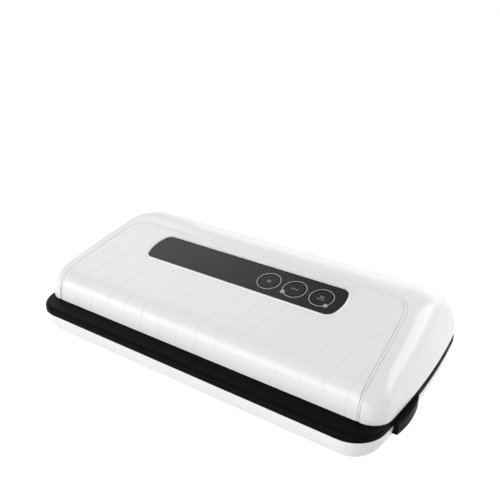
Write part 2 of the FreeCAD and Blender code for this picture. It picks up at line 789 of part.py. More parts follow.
def inlet_box(grow):
    middle = -size("inlet_offset")
    front = size("half_depth") - size("inlet_recess") - size("inlet_depth")
    half = size("inlet_length") / 2 + grow
    low = (middle - half, front - grow, size("inlet_low") - grow)
    return box(low, (middle + half, size("half_depth"), size("inlet_low") + size("inlet_height") + grow))


def supply_spots():
    half_x = size("supply_length") / 2 - size("stud_inset")
    half_y = size("supply_width") / 2 - size("stud_inset")
    return [(x * half_x, size("supply_line") + y * half_y) for x in (1, -1) for y in (1, -1)]


def make_lower_housing():
    floor, floor_top = size("foot_height"), size("floor_top")
    tub = tub_loft(0, floor).cut(tub_loft(size("shell_wall"), floor_top))
    outside = size("half_length") + past
    windows = both_sides(button_window(size("slide_gap"), catch_face, outside))
    holes = []
    for x, y in screw_spots():
        holes.append(cylinder(size("screw_radius") + size("fit_gap"), (x, y, 0), (x, y, floor_top + past)))
        counterbore = size("head_thick") + size("fit_gap")
        holes.append(cylinder(size("screw_head") + size("fit_gap"), (x, y, 0), (x, y, floor + counterbore)))
    for x, y in foot_spots():
        seat = floor + size("foot_seat")
        holes.append(cylinder(size("foot_radius") + size("fit_gap"), (x, y, 0), (x, y, seat)))
    tub = tub.cut(windows + holes + [inlet_box(size("fit_gap"))])
    posts = []
    for x, y in supply_spots():
        posts.append(cylinder(size("stud_radius"), (x, y, floor + past), (x, y, size("supply_bottom"))))
    return fused([tub] + posts)


# Deck with its rim, hinge knuckles, trough, heater channel and posts.


def hinge_block(radius, low_x, high_x, low_z):
    y, z = size("hinge_line"), size("hinge_height")
    knuckle = cylinder(radius, (low_x, y, z), (high_x, y, z))
    return knuckle.fuse(box((low_x, y - radius, low_z), (high_x, y + radius, z)))


def make_base_deck():
    seam, under, top = size("seam_height"), size("deck_under"), size("rim_top")
    wall, gap = size("shell_wall"), size("fit_gap")
    rim = rim_prism(0, seam, top)
    upper_edges = [edge for edge in rim.Edges if abs(edge.BoundBox.ZMin - top) < 0.001]
    rim = rim.makeFillet(size("rim_round"), upper_edges)
    rim = rim.cut(rim_prism(wall, seam, under))
    lip_low = seam - size("lip_reach")
    lip = rim_prism(wall + size("lip_step") + gap, lip_low, under + past)
    lip = lip.cut(rim_prism(2 * wall + gap, lip_low - past, under + 2 * past))
    trough_low = top - size("trough_depth")
    half, front, rear = size("trough_half"), size("trough_front"), size("trough_rear")
    trough_wall = box(
        (-half - wall, -front - wall, trough_low - wall),
        (half + wall, wall - rear, under + past),
    )
    bar_half, bar_line = size("bar_length") / 2 + gap, size("bar_line")
    bar_side = size("bar_width") / 2 + gap
    bar_low = size("bar_bottom")
    channel = box(
        (-bar_half - wall, -bar_line - bar_side - wall, bar_low - wall),
        (bar_half + wall, bar_side + wall - bar_line, under + past),
    )
    posts = []
    pilots = []
    for x, y in screw_spots():
        foot = size("floor_top")
        tip = foot + size("screw_grip")
        posts.append(cylinder(size("post_radius"), (x, y, foot), (x, y, under + past)))
        pilots.append(cylinder(size("screw_radius") + size("pin_play"), (x, y, 0), (x, y, tip)))
    stop = box(
        (spring_start - wall, button_middle - size("hook_width") / 2, size("arm_low")),
        (spring_start, button_middle + size("hook_width") / 2, under + past),
    )
    near, far = size("knuckle_length") / 2 + size("slide_gap"), size("ear_outer")
    spread = size("hinge_spread")
    ears = []
    for low, high in ((spread - far, spread - near), (spread + near, spread + far)):
        ears += both_sides(hinge_block(size("knuckle_radius"), low, high, top - size("rim_round")))
    solid = fused([rim, lip, trough_wall, channel] + posts + both_sides(stop) + ears)
    slot_half = size("hook_width") / 2 + size("slot_room")
    ledge_face = catch_face - size("catch_thick") - size("hook_nose")
    slot = box(
        (ledge_face - 2 * size("slide_gap"), button_middle - slot_half, under - wall),
        (catch_face + 2 * size("slide_gap"), button_middle + slot_half, top + past),
    )
    y, z = size("hinge_line"), size("hinge_height")
    bore = cylinder(size("pin_radius"), (spread - far - past, y, z), (spread + far + past, y, z))
    cuts = [
        box((-half, -front, trough_low), (half, -rear, top + past)),
        box((-bar_half, -bar_line - bar_side, bar_low), (bar_half, bar_side - bar_line, top + past)),
        ring_prism(gap, top - size("gasket_seat"), top + past),
    ]
    window_inner = side_at(button_middle) - 2 * wall - size("window_run")
    window = button_window(size("slide_gap"), window_inner, size("half_length") + past)
    cuts += both_sides(window) + both_sides(slot) + both_sides(bore) + pilots
    return solid.cut(cuts).removeSplitter()


# Lid shell with its flat top, panel recess, posts and hinge notches.


def hinge_notch(high):
    half, spread = size("ear_outer") + size("hinge_room"), size("hinge_spread")
    front = size("hinge_line") - size("hinge_notch")
    return box((spread - half, front, 0), (spread + half, size("half_depth") + past, high))


def make_lid_cover():
    wall = size("shell_wall")
    outer = lid_loft(0, size("lid_bottom"))
    inner = lid_loft(wall, size("lid_bottom") - past)

    def plateau_prism(shift):
        wire = outline(
            size("plateau_half") + shift,
            size("plateau_curve") + shift,
            -size("plateau_apex"),
            shift - size("lid_front") - 2 * size("plateau_corner"),
            size("plateau_rear") + shift,
            size("plateau_corner"),
            size("plateau_corner") + shift,
        )
        return prism(wire, 2 * size("panel_height"))

    ridge_inset = size("ridge_inset")
    channel = plateau_prism(-ridge_inset).cut(plateau_prism(-ridge_inset - size("ridge_width")))
    channel = channel.cut(lid_loft(size("ridge_depth"), size("lid_bottom") - past))
    cover = outer.cut([inner, channel])
    frame_top, frame_low = past - wall, -size("frame_depth")
    frame = tilted(panel_prism(size("panel_frame"), frame_low, frame_top))
    columns = []
    studs = []
    pilots = []
    for x, y in lid_screw_spots():
        foot = size("plate_top")
        column = cylinder(size("post_radius"), (x, y, foot), (x, y, foot + size("panel_height")))
        columns.append(column.common(outer))
        grip = foot + size("screw_grip") - size("plate_thick")
        pilots.append(cylinder(size("screw_radius") + size("pin_play"), (x, y, foot - past), (x, y, grip)))
    for x, y in board_spots():
        stud = cylinder(size("stud_radius"), (x, y, size("board_top")), (x, y, frame_top))
        columns.append(tilted(stud))
        kept = cylinder(size("stud_radius"), (x, y, size("board_top")), (x, y, size("panel_back")))
        studs.append(tilted(kept))
    solid = fused([cover, frame] + columns)
    recess = tilted(panel_prism(size("fit_gap"), size("panel_back"), past))
    window = tilted(panel_prism(-size("panel_ledge"), frame_low - past, past))
    window = window.cut(studs)
    relief_top = size("lid_bottom") + size("rear_relief")
    end, relief_front = size("half_length"), size("hinge_line") - size("relief_run")
    relief = box((-end, relief_front, 0), (end, size("half_depth"), relief_top))
    notch_top = size("hinge_height") + size("knuckle_radius") + size("hinge_room")
    notches = both_sides(hinge_notch(notch_top))
    return solid.cut([recess, window, relief] + notches + pilots).removeSplitter()


def board_spots():
    half_x = size("board_length") / 2 - size("stud_inset")
    half_y = size("panel_width") / 2 - size("panel_ledge") - size("stud_side")
    return [(x * half_x, y * half_y) for x in (1, -1) for y in (1, -1)]


# Lid plate with its gasket groove, catches and hinge knuckles.


def make_lid_plate():
    under, top = size("plate_under"), size("plate_top")
    inset = size("lid_setback") + size("shell_wall") + size("slide_gap") + size("plate_room")
    half_depth = size("half_depth")
    radius = size("corner_radius") - inset
    wire = outline(
        size("half_length") - inset,
        side_curve() - inset,
        0,
        inset - size("lid_setback") - size("lid_front"),
        half_depth - inset,
        size("lid_front_radius") - inset + size("lid_setback"),
        radius,
    )
    wire.translate(Vector(0, 0, under))
    plate = prism(wire, top - under)
    plate = plate.cut(both_sides(hinge_notch(2 * top)))
    half_hook = size("hook_width") / 2
    front, rear = button_middle - half_hook, button_middle + half_hook
    low = size("catch_low")
    catch = box((catch_face - size("catch_thick"), front, low), (catch_face, rear, under + past))
    ledge = box(
        (catch_face - size("catch_thick") - size("hook_nose"), front, low),
        (catch_face, rear, low + size("hook_nose")),
    )
    half, spread = size("knuckle_length") / 2, size("hinge_spread")
    line, height, radius = size("hinge_line"), size("hinge_height"), size("knuckle_radius")
    knuckle = cylinder(radius, (spread - half, line, height), (spread + half, line, height))
    arm = box((spread - half, line - size("knuckle_arm"), under), (spread + half, line, height))
    solid = fused([plate] + both_sides(catch.fuse(ledge)) + both_sides(knuckle.fuse(arm)))
    bore = cylinder(
        size("pin_radius") + size("pin_play"),
        (spread - half - past, line, height),
        (spread + half + past, line, height),
    )
    pad_half = size("bar_length") / 2 + size("fit_gap")
    pad_side = size("pad_width") / 2 + size("fit_gap")
    line_y = -size("bar_line")
    pad_top = under + size("pad_seat")
    pad_groove = box((-pad_half, line_y - pad_side, under - past), (pad_half, line_y + pad_side, pad_top))
    cuts = [ring_prism(size("fit_gap"), under - past, under + size("gasket_seat")), pad_groove]
    cuts += both_sides(bore)
    screw_hole = size("screw_radius") + size("fit_gap")
    for x, y in lid_screw_spots():
        cuts.append(cylinder(screw_hole, (x, y, under - past), (x, y, top + past)))
    port = (size("hose_x"), -size("port_line"))
    port_radius = size("hose_bore") + size("port_wall") + size("fit_gap")
    cuts.append(cylinder(port_radius, (*port, under - past), (*port, top + past)))
    return solid.cut(cuts).removeSplitter()


def make_hose():
    # From the suction port up, round one bend and level into the pump head.
    x, low = size("hose_x"), size("plate_top") + size("port_height") - size("hose_grip")
    level, bend = size("hose_height"), size("hose_bend")
    front = -size("port_line")
    rear = size("motor_line") - size("head_depth") / 2
    foot, bend_start = Vector(x, front, low), Vector(x, front, level - bend)
    bend_end, end = Vector(x, front + bend, level), Vector(x, rear, level)
    half = bend * (1 - math.sqrt(0.5))
    bend_middle = Vector(x, front + half, level - half)
    path = Part.Wire([
        Part.LineSegment(foot, bend_start).toShape(),
        Part.Arc(bend_start, bend_middle, bend_end).toShape(),
        Part.LineSegment(bend_end, end).toShape(),
    ])

    def tube(radius):
        section = Part.Wire([Part.Circle(foot, Vector(0, 0, 1), radius).toShape()])
        return path.makePipeShell([section], True, False)

    hose = tube(size("hose_radius")).cut(tube(size("hose_bore")))
    section = math.pi * (size("hose_radius") ** 2 - size("hose_bore") ** 2)
    ratio = hose.Volume / (section * path.Length)
    print(f"suction hose: bend radius {bend:.0f} mm, volume ratio {ratio:.3f}")
    return hose


def make_panel():
    plate = panel_prism(0, size("panel_back"), size("panel_face"))
    back, face = size("panel_back") - past, size("panel_face") + past
    holes = []
    for index in range(len(key_names)):
        x = key_x(index)
        holes.append(cylinder(size("key_radius") + size("key_gap"), (x, 0, back), (x, 0, face)))
    for x, y in lens_spots():
        holes.append(cylinder(size("lens_radius") + size("pin_play"), (x, y, back), (x, y, face)))
    return plate.cut(holes)


nodes = [
    piece("lower_housing", make_lower_housing()),
    piece("base_deck", make_base_deck()),
    piece("lid_cover", make_lid_cover()),
    piece("lid_plate", make_lid_plate()),
    piece("control_panel", make_panel(), on_top()),
    piece("suction_hose", make_hose()),
]

right_button, right_spring = release_button(), button_spring()
nodes += [
    piece("release_button_right", right_button),
    piece("release_button_left", mirror_x(right_button)),
    piece("button_spring_right", right_spring),
    piece("button_spring_left", mirror_x(right_spring)),
]

# Keys, lenses, switches and the control board, in the frame of the flat top.


def on_slope(item):
    item.Placement = on_top()
    return item


for index, label in enumerate(key_names):
    where = f"key_first + {index} * key_pitch"
    stem_foot = "switch_top + key_travel + fit_gap"
    flange_foot = "flange_top - key_flange_thick"
    face = rod(label + "_face", "key_radius", "panel_face - flange_top", where, "0", "flange_top")
    flange = rod(label + "_flange", "key_radius + key_flange", "key_flange_thick", where, "0", flange_foot)
    stem = rod(label + "_stem", "key_stem", f"flange_top - ({stem_foot})", where, "0", stem_foot)
    nodes.append(on_slope(joined(label, [face, flange, stem])))

lenses = []
for index, angle in ((1, "lens_angle_seal"), (2, "lens_angle_vacuum")):
    across = f"key_first + {index} * key_pitch + lens_orbit * cos({angle} * 1 deg)"
    along = f"lens_orbit * sin({angle} * 1 deg)"
    lenses.append(rod(f"lens_{index}", "lens_radius", "panel_thick", across, along, "panel_back"))
nodes.append(on_slope(gathered("indicator_lenses", lenses)))

board_plate = block("board_plate", "board_length", "board_width", "board_thick", "0", "0", "board_bottom")
nodes.append(on_slope(gathered("control_board", [board_plate])))

switches = []
for index in range(len(key_names)):
    where = f"key_first + {index} * key_pitch"
    side = "switch_side"
    switches.append(block(f"switch_{index}", side, side, "switch_height", where, "0", "board_top"))
nodes.append(on_slope(gathered("tact_switches", switches)))

# Seals and the heater.

lower_gasket = padded(
    "lower_gasket",
    "gasket_seat + gasket_rise",
    ("gasket_length", "gasket_depth", "gasket_corner"),
    ("gasket_inner_length", "gasket_inner_depth", "gasket_inner_corner"),
)
move(lower_gasket, "0", "gasket_middle", "rim_top - gasket_seat")
upper_gasket = padded(
    "upper_gasket",
    "plate_under + gasket_seat - gasket_top - seal_gap",
    ("gasket_length", "gasket_depth", "gasket_corner"),
    ("gasket_inner_length", "gasket_inner_depth", "gasket_inner_corner"),
)
move(upper_gasket, "0", "gasket_middle", "gasket_top + seal_gap")
nodes += [lower_gasket, upper_gasket]

pad_height = "plate_under + pad_seat - tape_top - seal_gap"
sealing_line = (
    ("heater_bar", "bar_width", "bar_height", "bar_bottom"),
    ("heating_strip", "strip_width", "strip_thick", "bar_top"),
    ("release_tape", "tape_width", "tape_thick", "strip_top"),
    ("seal_pad", "pad_width", pad_height, "tape_top + seal_gap"),
)
for label, width, height, low in sealing_line:
    nodes.append(named(label, block(label, "bar_length", width, height, "0", "-bar_line", low)))

# Hinge pins.

along_x = Vector(1, 0, 0)
for sign, label in ((1, "hinge_pin_right"), (-1, "hinge_pin_left")):
    start = f"{sign} * hinge_spread - ear_outer"
    pin = rod(label, "pin_radius", "2 * ear_outer", start, "hinge_line", "hinge_height", along_x)
    nodes.append(named(label, pin))

# Feet and screws.


def screw(name, x, y, head_low):
    # Upright, driven from below: a flat head and its shank.
    head = rod(name + "_head", "screw_head", "head_thick", str(x), str(y), head_low)
    shank = rod(name + "_shank", "screw_radius", "head_thick + screw_grip", str(x), str(y), head_low)
    return joined(name, [head, shank])


feet = []
for number, (x, y) in enumerate(foot_spots(), start=1):
    feet.append(rod(f"foot_{number}", "foot_radius", "foot_height + foot_seat", str(x), str(y), "0"))
nodes.append(gathered("rubber_feet", feet))


def screw_set(label, spots, head_low):
    return gathered(label, [screw(f"{label}_{n}", x, y, head_low) for n, (x, y) in enumerate(spots)])


nodes.append(screw_set("housing_screws", screw_spots(), "foot_height + fit_gap"))
nodes.append(screw_set("lid_screws", lid_screw_spots(), "plate_under - head_thick"))

# Pump in the lid: motor, rotor with its eccentric, head with its chamber, cradle and suction nozzle.

motor_profile = (
    ("motor_boss", "0 * boss_length", 0),
    ("motor_boss", "boss_length", size("boss_length")),
    ("motor_radius", "boss_length", size("boss_length")),
    ("motor_radius", "motor_length", size("motor_length")),
)
motor_body = turned("motor_can", motor_profile)
motor_body.Placement = Placement(Vector(), Rotation(Vector(0, 0, 1), along_x))
move(motor_body, "-motor_start", "motor_line", "motor_height")
bearing = rod("motor_bearing", "shaft_radius + pin_play", "motor_length", "boss_length - motor_start",
              "motor_line", "motor_height", along_x)
nodes.append(cut("pump_motor", motor_body, [bearing]))

shaft_length = "motor_length - 2 * boss_length + crank_room + crank_thick"
shaft = rod("rotor_shaft", "shaft_radius", shaft_length, "2 * boss_length - motor_start",
            "motor_line", "motor_height", along_x)
crank = rod("rotor_crank", "crank_radius", "crank_thick", "head_start + crank_room",
            "motor_line", "motor_height + crank_throw", along_x)
nodes.append(joined("pump_rotor", [shaft, crank]))

head_block = block("head_block", "head_length", "head_depth", "head_height", "head_start + head_length / 2",
                   "motor_line", "plate_top")
nipple = rod("head_nipple", "hose_bore - pin_play", "hose_grip + head_wall", "hose_x",
             "motor_line - head_depth / 2 - hose_grip", "hose_height", Vector(0, 1, 0))
head_solid = joined("head_solid", [head_block, nipple])
chamber = rod("head_chamber", "crank_radius + crank_throw + crank_room", "head_length - head_wall",
              "head_start", "motor_line", "motor_height", along_x)
inlet_bore = rod("head_bore", "hose_bore - port_wall / 2", "2 * hose_grip + head_wall", "hose_x",
                 "motor_line - head_depth / 2 - 2 * hose_grip", "hose_height", Vector(0, 1, 0))
nodes.append(cut("pump_head", head_solid, [chamber, inlet_bore]))

cradle_block = block("cradle_block", "cradle_length", "2 * motor_radius + 2 * cradle_wall",
                     "motor_height - cradle_drop - plate_top", "head_start - motor_length / 2",
                     "motor_line", "plate_top")
cradle_seat = rod("cradle_seat", "motor_radius + pin_play", "2 * cradle_length",
                  "head_start - motor_length / 2 - cradle_length", "motor_line", "motor_height", along_x)
nodes.append(cut("motor_cradle", cradle_block, [cradle_seat]))

nozzle_profile = (
    ("port_outer", "0 * port_flange", 0),
    ("port_outer", "plate_thick", size("plate_thick")),
    ("port_rim", "plate_thick", size("plate_thick")),
    ("port_rim", "plate_thick + port_flange", size("plate_thick") + size("port_flange")),
    ("port_tube", "plate_thick + port_flange", size("plate_thick") + size("port_flange")),
    ("port_tube", "plate_thick + port_height", size("plate_thick") + size("port_height")),
)
nozzle_body = turned("nozzle_body", nozzle_profile)
move(nozzle_body, "hose_x", "-port_line", "plate_under")
nozzle_bore = rod("nozzle_bore", "hose_bore - port_wall / 2", "2 * port_height", "hose_x",
                  "-port_line", f"plate_under - {past}")
nodes.append(cut("suction_nozzle", nozzle_body, [nozzle_bore]))

# Supply in the base: board, transformer, capacitors and the two-pin inlet.

supply = block("supply_board", "supply_length", "supply_width", "board_thick",
               "0", "supply_line", "supply_bottom")
nodes.append(named("supply_board", supply))
core = block("transformer_core", "transformer_length", "transformer_width / 2", "transformer_height",
             "-supply_length / 4", "supply_line", "supply_top")
bobbin = block("transformer_bobbin", "bobbin_length", "transformer_width", "transformer_height - bobbin_drop",
               "-supply_length / 4", "supply_line", "supply_top")
nodes.append(joined("transformer", [core, bobbin]))
cans = []
for index in range(3):
    where = f"capacitor_start + {index} * capacitor_pitch"
    cans.append(rod(f"capacitor_{index}", "capacitor_radius", "capacitor_height", where,
                    "supply_line", "supply_top"))
nodes.append(gathered("capacitors", cans))

inlet_face = "half_depth - inlet_recess"
inlet_middle = "inlet_low + inlet_height / 2"
inlet_block = block("inlet_block", "inlet_length", "inlet_depth", "inlet_height", "-inlet_offset",
                    f"{inlet_face} - inlet_depth / 2", "inlet_low")
socket = block("inlet_socket", "socket_length", "2 * socket_depth", "socket_height", "-inlet_offset",
               inlet_face, f"{inlet_middle} - socket_height / 2")
inlet_shell = cut("inlet_shell", inlet_block, [socket])
contacts = [inlet_shell]
for sign in (1, -1):
    where = f"{sign} * contact_pitch / 2 - inlet_offset"
    contacts.append(rod(f"contact_{sign + 1}", "contact_radius", f"contact_length + {past}", where,
                        f"{inlet_face} - socket_depth - {past}", inlet_middle, Vector(0, 1, 0)))
nodes.append(joined("power_inlet", contacts))

# Every piece is checked before it is written.

doc.recompute()
for item in doc.Objects:
    if "Invalid" in item.State or "Error" in item.State:
        raise RuntimeError(f"{item.Name} is {item.State}")
os.makedirs("parts", exist_ok=True)
for item in nodes:
    shape = item.Shape
    if shape.isNull() or not shape.isValid() or shape.Volume <= 0:
        raise RuntimeError(f"{item.Label} has no valid shape")
    shape.exportStep(f"parts/{item.Label}.step")
    reach = shape.BoundBox
    print(f"{item.Label}: {len(shape.Solids)} solids, {shape.Volume:.0f} mm3,", end=" ")
    print(f"x {reach.XMin:.2f} {reach.XMax:.2f} y {reach.YMin:.2f} {reach.YMax:.2f}", end=" ")
    print(f"z {reach.ZMin:.2f} {reach.ZMax:.2f}")
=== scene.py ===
import math

import bmesh
import bpy
from mathutils import Matrix, Vector
from mathutils.bvhtree import BVHTree


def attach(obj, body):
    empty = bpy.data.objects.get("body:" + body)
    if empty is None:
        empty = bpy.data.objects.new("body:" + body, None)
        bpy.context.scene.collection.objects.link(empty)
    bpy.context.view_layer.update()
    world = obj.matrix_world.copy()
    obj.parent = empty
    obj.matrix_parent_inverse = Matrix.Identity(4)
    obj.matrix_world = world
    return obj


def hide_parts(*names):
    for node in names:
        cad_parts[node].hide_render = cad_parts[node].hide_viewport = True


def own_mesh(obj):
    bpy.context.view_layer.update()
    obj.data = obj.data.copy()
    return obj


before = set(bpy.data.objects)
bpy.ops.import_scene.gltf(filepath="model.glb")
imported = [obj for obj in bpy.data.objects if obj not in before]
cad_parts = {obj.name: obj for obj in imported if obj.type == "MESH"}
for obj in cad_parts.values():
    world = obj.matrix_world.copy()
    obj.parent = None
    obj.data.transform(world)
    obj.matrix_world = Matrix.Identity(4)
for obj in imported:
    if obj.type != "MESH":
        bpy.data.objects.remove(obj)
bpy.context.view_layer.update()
mm = 0.001
weld = 1e-7  # vertices nearer than this, in metres, are one
shoulder = 0.3  # where the facets of a small rounded edge meet, as a share of its radius
print("frame loaded:", len(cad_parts), "nodes")


# finishes: arithmetic on sockets, and one method for every other node

class Value:
    def __init__(self, finish, socket):
        self.finish = finish
        self.socket = socket

    def combine(self, operation, first, second):
        return self.finish.node("ShaderNodeMath", {"operation": operation}, {0: first, 1: second})

    def __add__(self, other):
        return self.combine("ADD", self, other)

    def __mul__(self, other):
        return self.combine("MULTIPLY", self, other)

    __radd__ = __add__
    __rmul__ = __mul__


class Nodes:
    def __init__(self, block):
        block.use_nodes = True
        self.tree = block.node_tree

    def node(self, kind, settings=None, sockets=None, output=0):
        made = self.tree.nodes.new(kind)
        for name, value in (settings or {}).items():
            setattr(made, name, value)
        for name, value in (sockets or {}).items():
            if isinstance(value, Value):
                self.tree.links.new(value.socket, made.inputs[name])
            else:
                made.inputs[name].default_value = value
        return Value(self, made.outputs[output])

    def seenRays(self):
        # 1 for the rays that show a background: straight, mirrored and through glass
        kinds = ("Is Camera Ray", "Is Glossy Ray", "Is Transmission Ray")
        seen, mirrored, through = (self.node("ShaderNodeLightPath", output=kind) for kind in kinds)
        return seen + mirrored + through


class Finish(Nodes):
    def __init__(self, name, fixed):
        self.material = bpy.data.materials.new(name)
        super().__init__(self.material)
        self.shader = self.tree.nodes["Principled BSDF"]
        for socket, value in fixed.items():
            self.shader.inputs[socket].default_value = value
        self.coords = self.node("ShaderNodeTexCoord", output="Object")

    def feed(self, socket, value):
        self.tree.links.new(value.socket, self.shader.inputs[socket])

    def noise(self, scale, detail=3.0, stretch=(1, 1, 1)):
        placed = self.node("ShaderNodeMapping", {}, {"Vector": self.coords, "Scale": stretch})
        return self.node("ShaderNodeTexNoise", {}, {"Vector": placed, "Scale": scale, "Detail": detail})

    def pores(self, scale):
        return self.node("ShaderNodeTexVoronoi", {"feature": "F1"}, {"Vector": self.coords, "Scale": scale})

    def shade(self, amount, dark, light):
        # sockets 6 and 7 of the node take the two colours, and output 2 gives their mixture
        mixed = self.node("ShaderNodeMix", {"data_type": "RGBA"},
                          {"Factor": amount, 6: (*dark, 1), 7: (*light, 1)}, output=2)
        self.feed("Base Color", mixed)

    def bump(self, height, strength, distance):
        self.feed("Normal", self.node("ShaderNodeBump", {}, {"Height": height, "Strength": strength,
                                                             "Distance": distance}))


plastic = {"cloud": 14, "polish": 60, "relief": 0.0002}
metal = {"marks": 260, "spread": 0.16, "strength": 0.12, "relief": 0.0001}
foam = {"mottle": 90, "roughness": 0.82, "spread": 0.12, "strength": 0.55, "relief": 0.0004}
cloth = {"roughness": 0.35, "spread": 0.2, "strength": 0.3, "relief": 0.0002}
board = {"tracks": 70.0, "gap": 0.06, "offset": 0.37, "polish": 40, "roughness": 0.3, "spread": 0.2,
         "strength": 0.2, "relief": 0.0001}


def moulded(name, dark, light, polish, grain, fixed=None):
    # moulded plastic: cloudy colour, uneven polish and a fine surface grain
    roughness, spread = polish
    scale, strength = grain
    finish = Finish(name, fixed or {})
    finish.shade(finish.noise(plastic["cloud"], detail=2), dark, light)
    finish.feed("Roughness", finish.noise(plastic["polish"], detail=4) * spread + (roughness - spread / 2))
    finish.bump(finish.noise(scale, detail=2), strength, plastic["relief"])
    return finish.material


def drawn(name, dark, light, roughness, stretch):
    # metal with the marks of drawing or brushing
    finish = Finish(name, {"Metallic": 1.0})
    marks = finish.noise(metal["marks"], detail=5, stretch=stretch)
    finish.shade(marks, dark, light)
    finish.feed("Roughness", marks * metal["spread"] + (roughness - metal["spread"] / 2))
    finish.bump(marks, metal["strength"], metal["relief"])
    return finish.material


def foamed(name, dark, light, scale):
    # closed-cell foam: open skin pores over a soft mottle
    finish = Finish(name, {"Specular IOR Level": 0.25})
    cells = finish.pores(scale)
    finish.shade(cells, dark, light)
    finish.feed("Roughness", finish.noise(foam["mottle"]) * foam["spread"] + foam["roughness"])
    finish.bump(cells, foam["strength"], foam["relief"])
    return finish.material


def woven(name, dark, light, pitch):
    # coated glass cloth: two crossing sets of threads
    finish = Finish(name, {})
    sockets = {"Vector": finish.coords, "Scale": pitch}
    warp, weft = (finish.node("ShaderNodeTexWave", {"bands_direction": way}, sockets) for way in "XY")
    threads = (warp + weft) * 0.5
    finish.shade(threads, dark, light)
    finish.feed("Roughness", threads * cloth["spread"] + cloth["roughness"])
    finish.bump(threads, cloth["strength"], cloth["relief"])
    return finish.material


def etched(name, mask, copper):
    # circuit board: solder mask over lighter tracks
    finish = Finish(name, {})
    sockets = {"Vector": finish.coords, "Scale": board["tracks"], "Mortar Size": board["gap"]}
    tracks = finish.node("ShaderNodeTexBrick", {"offset": board["offset"]}, sockets, output="Fac")
    finish.shade(tracks, mask, copper)
    finish.feed("Roughness", finish.noise(board["polish"]) * board["spread"] + board["roughness"])
    finish.bump(tracks, board["strength"], board["relief"])
    return finish.material


whiteGloss = moulded("whiteGloss", (0.78, 0.783, 0.786), (0.82, 0.822, 0.824), polish=(0.3, 0.05),
                     grain=(420, 0.012),
                     fixed={"Specular IOR Level": 0.3, "Coat Weight": 0.2, "Coat Roughness": 0.1})
blackSatin = moulded("blackSatin", (0.002, 0.002, 0.0021), (0.004, 0.004, 0.0042), polish=(0.42, 0.1),
                     grain=(1500, 0.06), fixed={"Specular IOR Level": 0.03})
blackInner = moulded("blackInner", (0.018, 0.018, 0.019), (0.03, 0.03, 0.031), polish=(0.55, 0.12),
                     grain=(1200, 0.16))
panelGloss = moulded("panelGloss", (0.006, 0.0058, 0.0056), (0.010, 0.0097, 0.0094), polish=(0.27, 0.05),
                     grain=(240, 0.004), fixed={"Specular IOR Level": 0.13})
printWhite = moulded("printWhite", (0.46, 0.46, 0.47), (0.55, 0.55, 0.56), polish=(0.4, 0.1),
                     grain=(900, 0.03))
printGrey = moulded("printGrey", (0.2, 0.2, 0.205), (0.28, 0.28, 0.285), polish=(0.4, 0.1),
                    grain=(900, 0.03))
lensClear = moulded("lensClear", (0.3, 0.3, 0.31), (0.42, 0.42, 0.43), polish=(0.16, 0.06), grain=(500, 0.02),
                    fixed={"Coat Weight": 0.6})
rubberGrey = moulded("rubberGrey", (0.02, 0.02, 0.02), (0.05, 0.05, 0.05), polish=(0.8, 0.14),
                     grain=(800, 0.3))
sleeveBlue = moulded("sleeveBlue", (0.02, 0.025, 0.05), (0.04, 0.05, 0.09), polish=(0.3, 0.1),
                     grain=(300, 0.05))
hoseClear = moulded("hoseClear", (0.55, 0.56, 0.54), (0.68, 0.69, 0.67), polish=(0.35, 0.1),
                    grain=(300, 0.05))
foamDark = foamed("foamDark", (0.012, 0.012, 0.012), (0.045, 0.045, 0.046), scale=900)
padGrey = foamed("padGrey", (0.05, 0.05, 0.05), (0.1, 0.1, 0.1), scale=1500)
barMetal = drawn("barMetal", (0.52, 0.52, 0.54), (0.72, 0.72, 0.74), roughness=0.36, stretch=(0.06, 3, 3))
ribbonMetal = drawn("ribbonMetal", (0.42, 0.39, 0.36), (0.6, 0.57, 0.53), roughness=0.34,
                    stretch=(0.05, 4, 4))
steelPlain = drawn("steelPlain", (0.5, 0.5, 0.52), (0.68, 0.68, 0.7), roughness=0.3, stretch=(3, 0.3, 3))
canSteel = drawn("canSteel", (0.4, 0.4, 0.42), (0.6, 0.6, 0.62), roughness=0.34, stretch=(0.2, 3, 3))
tapeTan = woven("tapeTan", (0.16, 0.085, 0.04), (0.33, 0.19, 0.1), pitch=260)
windingAmber = woven("windingAmber", (0.2, 0.11, 0.03), (0.36, 0.22, 0.07), pitch=180)
boardGreen = etched("boardGreen", (0.012, 0.09, 0.035), (0.05, 0.2, 0.08))
print("finishes made")


# mesh helpers; outlines are in millimetres, meshes in metres

def bowedOutline(half, curve, apex, front, rear, frontRadius, rearRadius, along=56, turn=22, side=44):
    # plan points round a form with straight front and rear, bulging sides and tangent corners
    hubX = half - curve

    def corner(edge, radius, inward):
        centreY = edge + inward * radius
        centreX = hubX + math.sqrt((curve - radius) ** 2 - (centreY - apex) ** 2)
        return centreX, centreY, math.atan2(centreY - apex, centreX - hubX)

    def arc(x, y, radius, start, end, count):
        steps = (start + (end - start) * step / count for step in range(count))
        return [(x + radius * math.cos(angle), y + radius * math.sin(angle)) for angle in steps]

    frontX, frontY, frontAngle = corner(front, frontRadius, 1)
    rearX, rearY, rearAngle = corner(rear, rearRadius, -1)
    right = arc(frontX, frontY, frontRadius, -math.pi / 2, frontAngle, turn)
    right += arc(hubX, apex, curve, frontAngle, rearAngle, side)
    right += arc(rearX, rearY, rearRadius, rearAngle, math.pi / 2, turn)
    frontRun = [(frontX * (2 * step / along - 1), front) for step in range(along)]
    rearRun = [(rearX * (1 - 2 * step / along), rear) for step in range(along)]
    left = [(-x, y) for x, y in reversed(right)]
    return frontRun + right + rearRun + [(-rearX, rear)] + left[:-1]


def atHeight(outline, height):
    return [Vector((x, y, height)) for x, y in outline]


